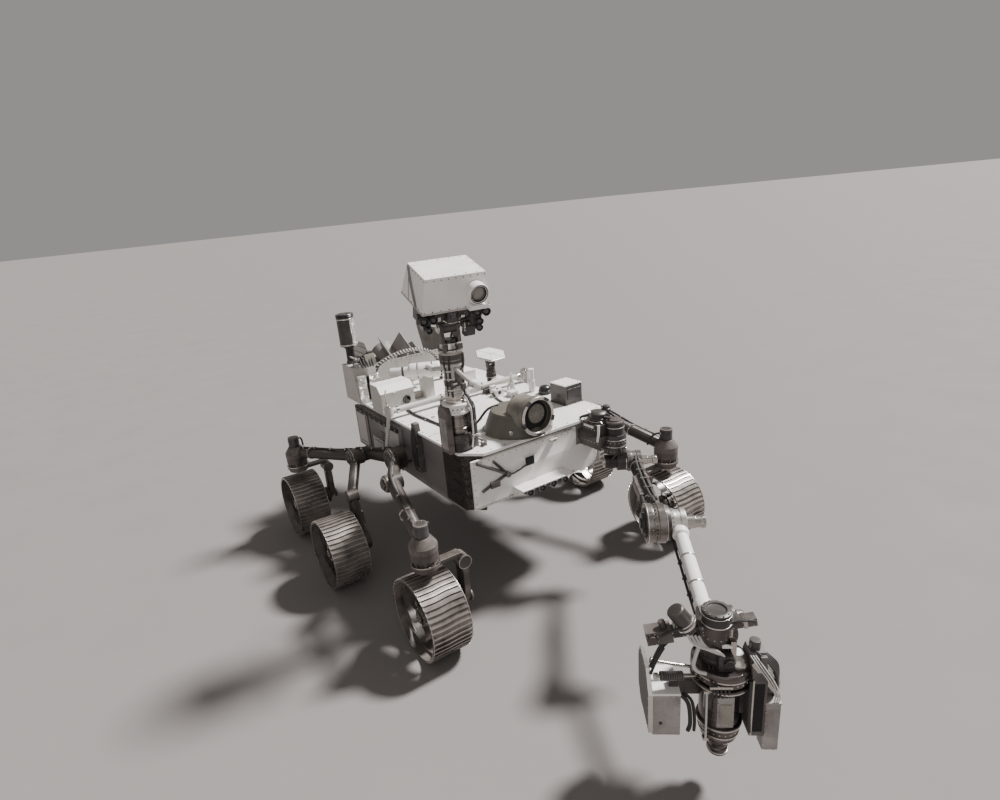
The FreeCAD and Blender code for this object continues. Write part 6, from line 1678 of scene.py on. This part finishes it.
def turret():
    """Hub, left instrument box with its plate and struts, right frame with its clutter, and the crossbar."""
    dress("turret_hub", "brushed drum", 2)
    left = Bench("turret_box_left_made", "grey paint", "turret", BOXES)
    left.block((116, 170, 216), (-30, 0, -258))
    left.of("white paint").block((118, 172, 12), (-30, 0, -148))
    left.of("slate paint").slab([(-85, -354), (-85, -150), (-20, -64), (120, -64), (165, -130), (165, -300),
        (110, -354)], -104, -88)
    left.of("bright ring").slab([(-87, -354), (-87, -150), (-21, -62), (121, -62), (121, -66), (-19, -66),
        (-84, -150), (-84, -354)], -105.5, -86.5)
    left.of("brown coating").block((146, 70, 50), (112, 65, -229))
    left.of("black housing").lathe([(7, 0), (7, 4), (0, 5)], (-54, -85, -300), FRONT, 20)
    left.block((40, 30, 30), (6, -30, -130))
    strut = Vector((-80, -66, -66)), Vector((128, -30, -96))
    for a, b in (strut, (Vector((-80, 20, -60)), Vector((120, 20, -100)))):
        left.of("bare metal").drum(7, a, b, 16)
        cap = (b - a).normalized() * 18
        left.drum(15, a, a + cap, 20)
        left.drum(15, b - cap, b, 20)
    left.of("dark coating").drum(17, strut[0].lerp(strut[1], 0.14), strut[0].lerp(strut[1], 0.58), 24)
    left.of("black sleeve").pipe([(-84, -10, -70), (-40, 6, 10), (10, 10, 70), (30, 10, 108)], 8)
    left.pipe([(-60, 40, -80), (-20, 50, 0), (40, 50, 70), (56, 30, 110)], 10)
    left.pipe([(-88, -40, -80), (-60, -30, -10), (-30, -20, 40)], 6)
    left.pipe([(30, -70, -160), (60, -80, -200), (70, -80, -300), (62, -76, -350)], 9)
    left.pipe([(44, -60, -160), (78, -66, -200), (90, -70, -290), (90, -66, -360)], 7)
    left.done(2.2, "turret_box_left")
    links("strut_springs", "dark coating", [strut[0].lerp(strut[1], share) for share in (0.15, 0.35, 0.57)],
        "turret", BOXES, 6, pitch=0.009, radius=0.0205, sides=20, length=0.0042)
    right = Bench("turret_box_right_made", "slate paint", "turret", BOXES)
    right.slab([(-97, -354), (-97, -40), (-60, 46), (10, 48), (32, 0), (32, -354)], 305, 367)
    right.of("grey paint").block((64, 60, 246), (394, -65, -309))
    right.block((68, 64, 8), (394, -65, -184))
    right.of("brown coating").block((126, 70, 50), (272, 65, -229))
    # Near-black panel on the frame's front: painted shade of a recess.
    right.of("painted recess shade").slab(box_outline(312, -330, 356, -80), -99, -95, "y")
    right.of("bare metal").block((8, 10, 290), (309, -100, -200))
    right.slab([(300, 10), (312, 24), (420, -150), (410, -160)], -92, -84, "y")
    right.slab([(320, 44), (330, 50), (432, -110), (424, -118)], -60, -52, "y")
    right.of("dark coating").block((40, 44, 60), (392, -40, -130))
    right.block((26, 60, 34), (352, -50, 20))
    right.drum(22, (330, -30, 30), (330, -30, 88), 24)
    right.block((50, 30, 26), (402, -20, -84), turn("Y", 30))
    right.of("white sleeve")
    for shift in range(3):
        right.pipe([(300 + shift * 10, -70, 42), (330 + shift * 11, -96, -4), (366 + shift * 10, -104, -60),
            (396 + shift * 9, -100, -130), (400 + shift * 8, -92, -178)], 3, 8, 6)
    right.of("black sleeve")
    for shift in range(5):
        right.pipe([(310 + shift * 9, -40 + shift * 8, 60 - shift * 6),
            (350 + shift * 12, -70 + shift * 10, 30 - shift * 8), (400 + shift * 6, -70 + shift * 9, -40),
            (416 + shift * 3, -66 + shift * 8, -120), (404, -60 + shift * 8, -176)], 5.5, 8, 6)
    right.pipe([(300, -100, -60), (296, -106, -160), (298, -104, -260), (306, -98, -330)], 8)
    right.of("bright ring").pipe([(420, -10, -70), (438, -20, -110), (440, -30, -170)], 3.5)
    right.done(1.8, "turret_box_right")
    heads = Fasteners("turret_screws", body="turret", at=BOXES)
    heads.edge_of(box_outline(-84, -360, 24, -160), -85, "y", 54, FRONT, 3.4)
    heads.edge_of(box_outline(366, -426, 422, -196), -99, "y", 48, FRONT, 3.2)
    heads.edge_of([(-76, -346), (-76, -154), (-18, -74), (118, -74), (155, -134), (155, -296), (106, -346)],
        -104, "x", 46, RIGHT, 3.8)
    heads.done()
    bar_at = BARREL @ Matrix.Translation((-66, 0, 132)) @ turn("Y", -10)
    dress("turret_crossbar", "dark coating", 3)
    bar = Bench("crossbar_gear", "bright ring", "turret", bar_at)
    way = Vector((-math.sin(math.radians(24)), 0, math.cos(math.radians(24))))
    root = Vector((-66, 0, 0))
    bar.band(47, 37, root + way * 26, root + way * 36, 40)
    bar.band(43, 37, root + way * 42, root + way * 47, 40)
    bar.of("dark coating").lathe([(38, 0), (34, 6), (20, 8), (0, 8)], root + way * 110, way, 36)
    bar.of("bare metal").block((26, 48, 10), (-120, 0, 22))
    bar.block((22, 50, 46), (60, 0, 0))
    bar.block((16, 52, 40), (150, 0, 0))
    bar.of("black sleeve").pipe([(-190, -30, 10), (-150, -36, 28), (-110, -34, 34), (-70, -34, 24)], 6)
    bar.pipe([(100, -26, 14), (130, -30, 24), (170, -28, 20), (190, -24, 6)], 6)
    bar.of("brown coating").drum(20, (-226, -34, 0), (-226, -44, 0), 24)
    bar.drum(15, (-170, 0, 30), (-176, 0, 62), 20)
    bar.done(1)
    heads = Fasteners("crossbar_screws", body="turret", at=bar_at)
    heads.row((-180, -22.5, 10), (180, -22.5, 10), 10, FRONT, 3.4)
    heads.row((-180, -22.5, -10), (180, -22.5, -10), 10, FRONT, 3.4)
    heads.edge_of(box_outline(-244, -24, -204, 24), -32.5, "y", 24, FRONT, 3.2)
    heads.done()


bracket()
shoulder_stage()
upper_arm()
forearm()
drill()
turret()


def studio():
    """Pale floor, a soft key from the upper right and weak fill."""
    far = 300
    data = bpy.data.meshes.new("floor")
    data.from_pydata([(x, y, -0.001) for x, y in box_outline(-far, -far, far, far)], [], [(0, 1, 2, 3)])
    data.materials.append(FINISH["studio floor"][0])
    floor = put("floor", data)
    sun = bpy.data.lights.new("key", "SUN")
    sun.energy, sun.angle = 9.0, math.radians(9)
    fill = bpy.data.lights.new("fill", "AREA")
    fill.energy, fill.size = 80, 6
    for light, at in ((sun, (3.2, -0.4, 4.6)), (fill, (-5.0, -5.0, 3.0))):
        lamp = put(light.name, light)
        lamp.location = at
        lamp.rotation_euler = (Vector((0, 0, 0.7)) - Vector(at)).to_track_quat("-Z", "Y").to_euler()
    scene.world = bpy.data.worlds.new("world")
    scene.world.use_nodes = True
    sky = scene.world.node_tree.nodes["Background"].inputs
    sky["Color"].default_value = (0.86, 0.83, 0.8, 1)
    sky["Strength"].default_value = 0.36


coating("studio floor", None, (0.21, 0.19, 0.182), 0.85, mottle=0.05, patch=1.5, specks=0.05)
studio()
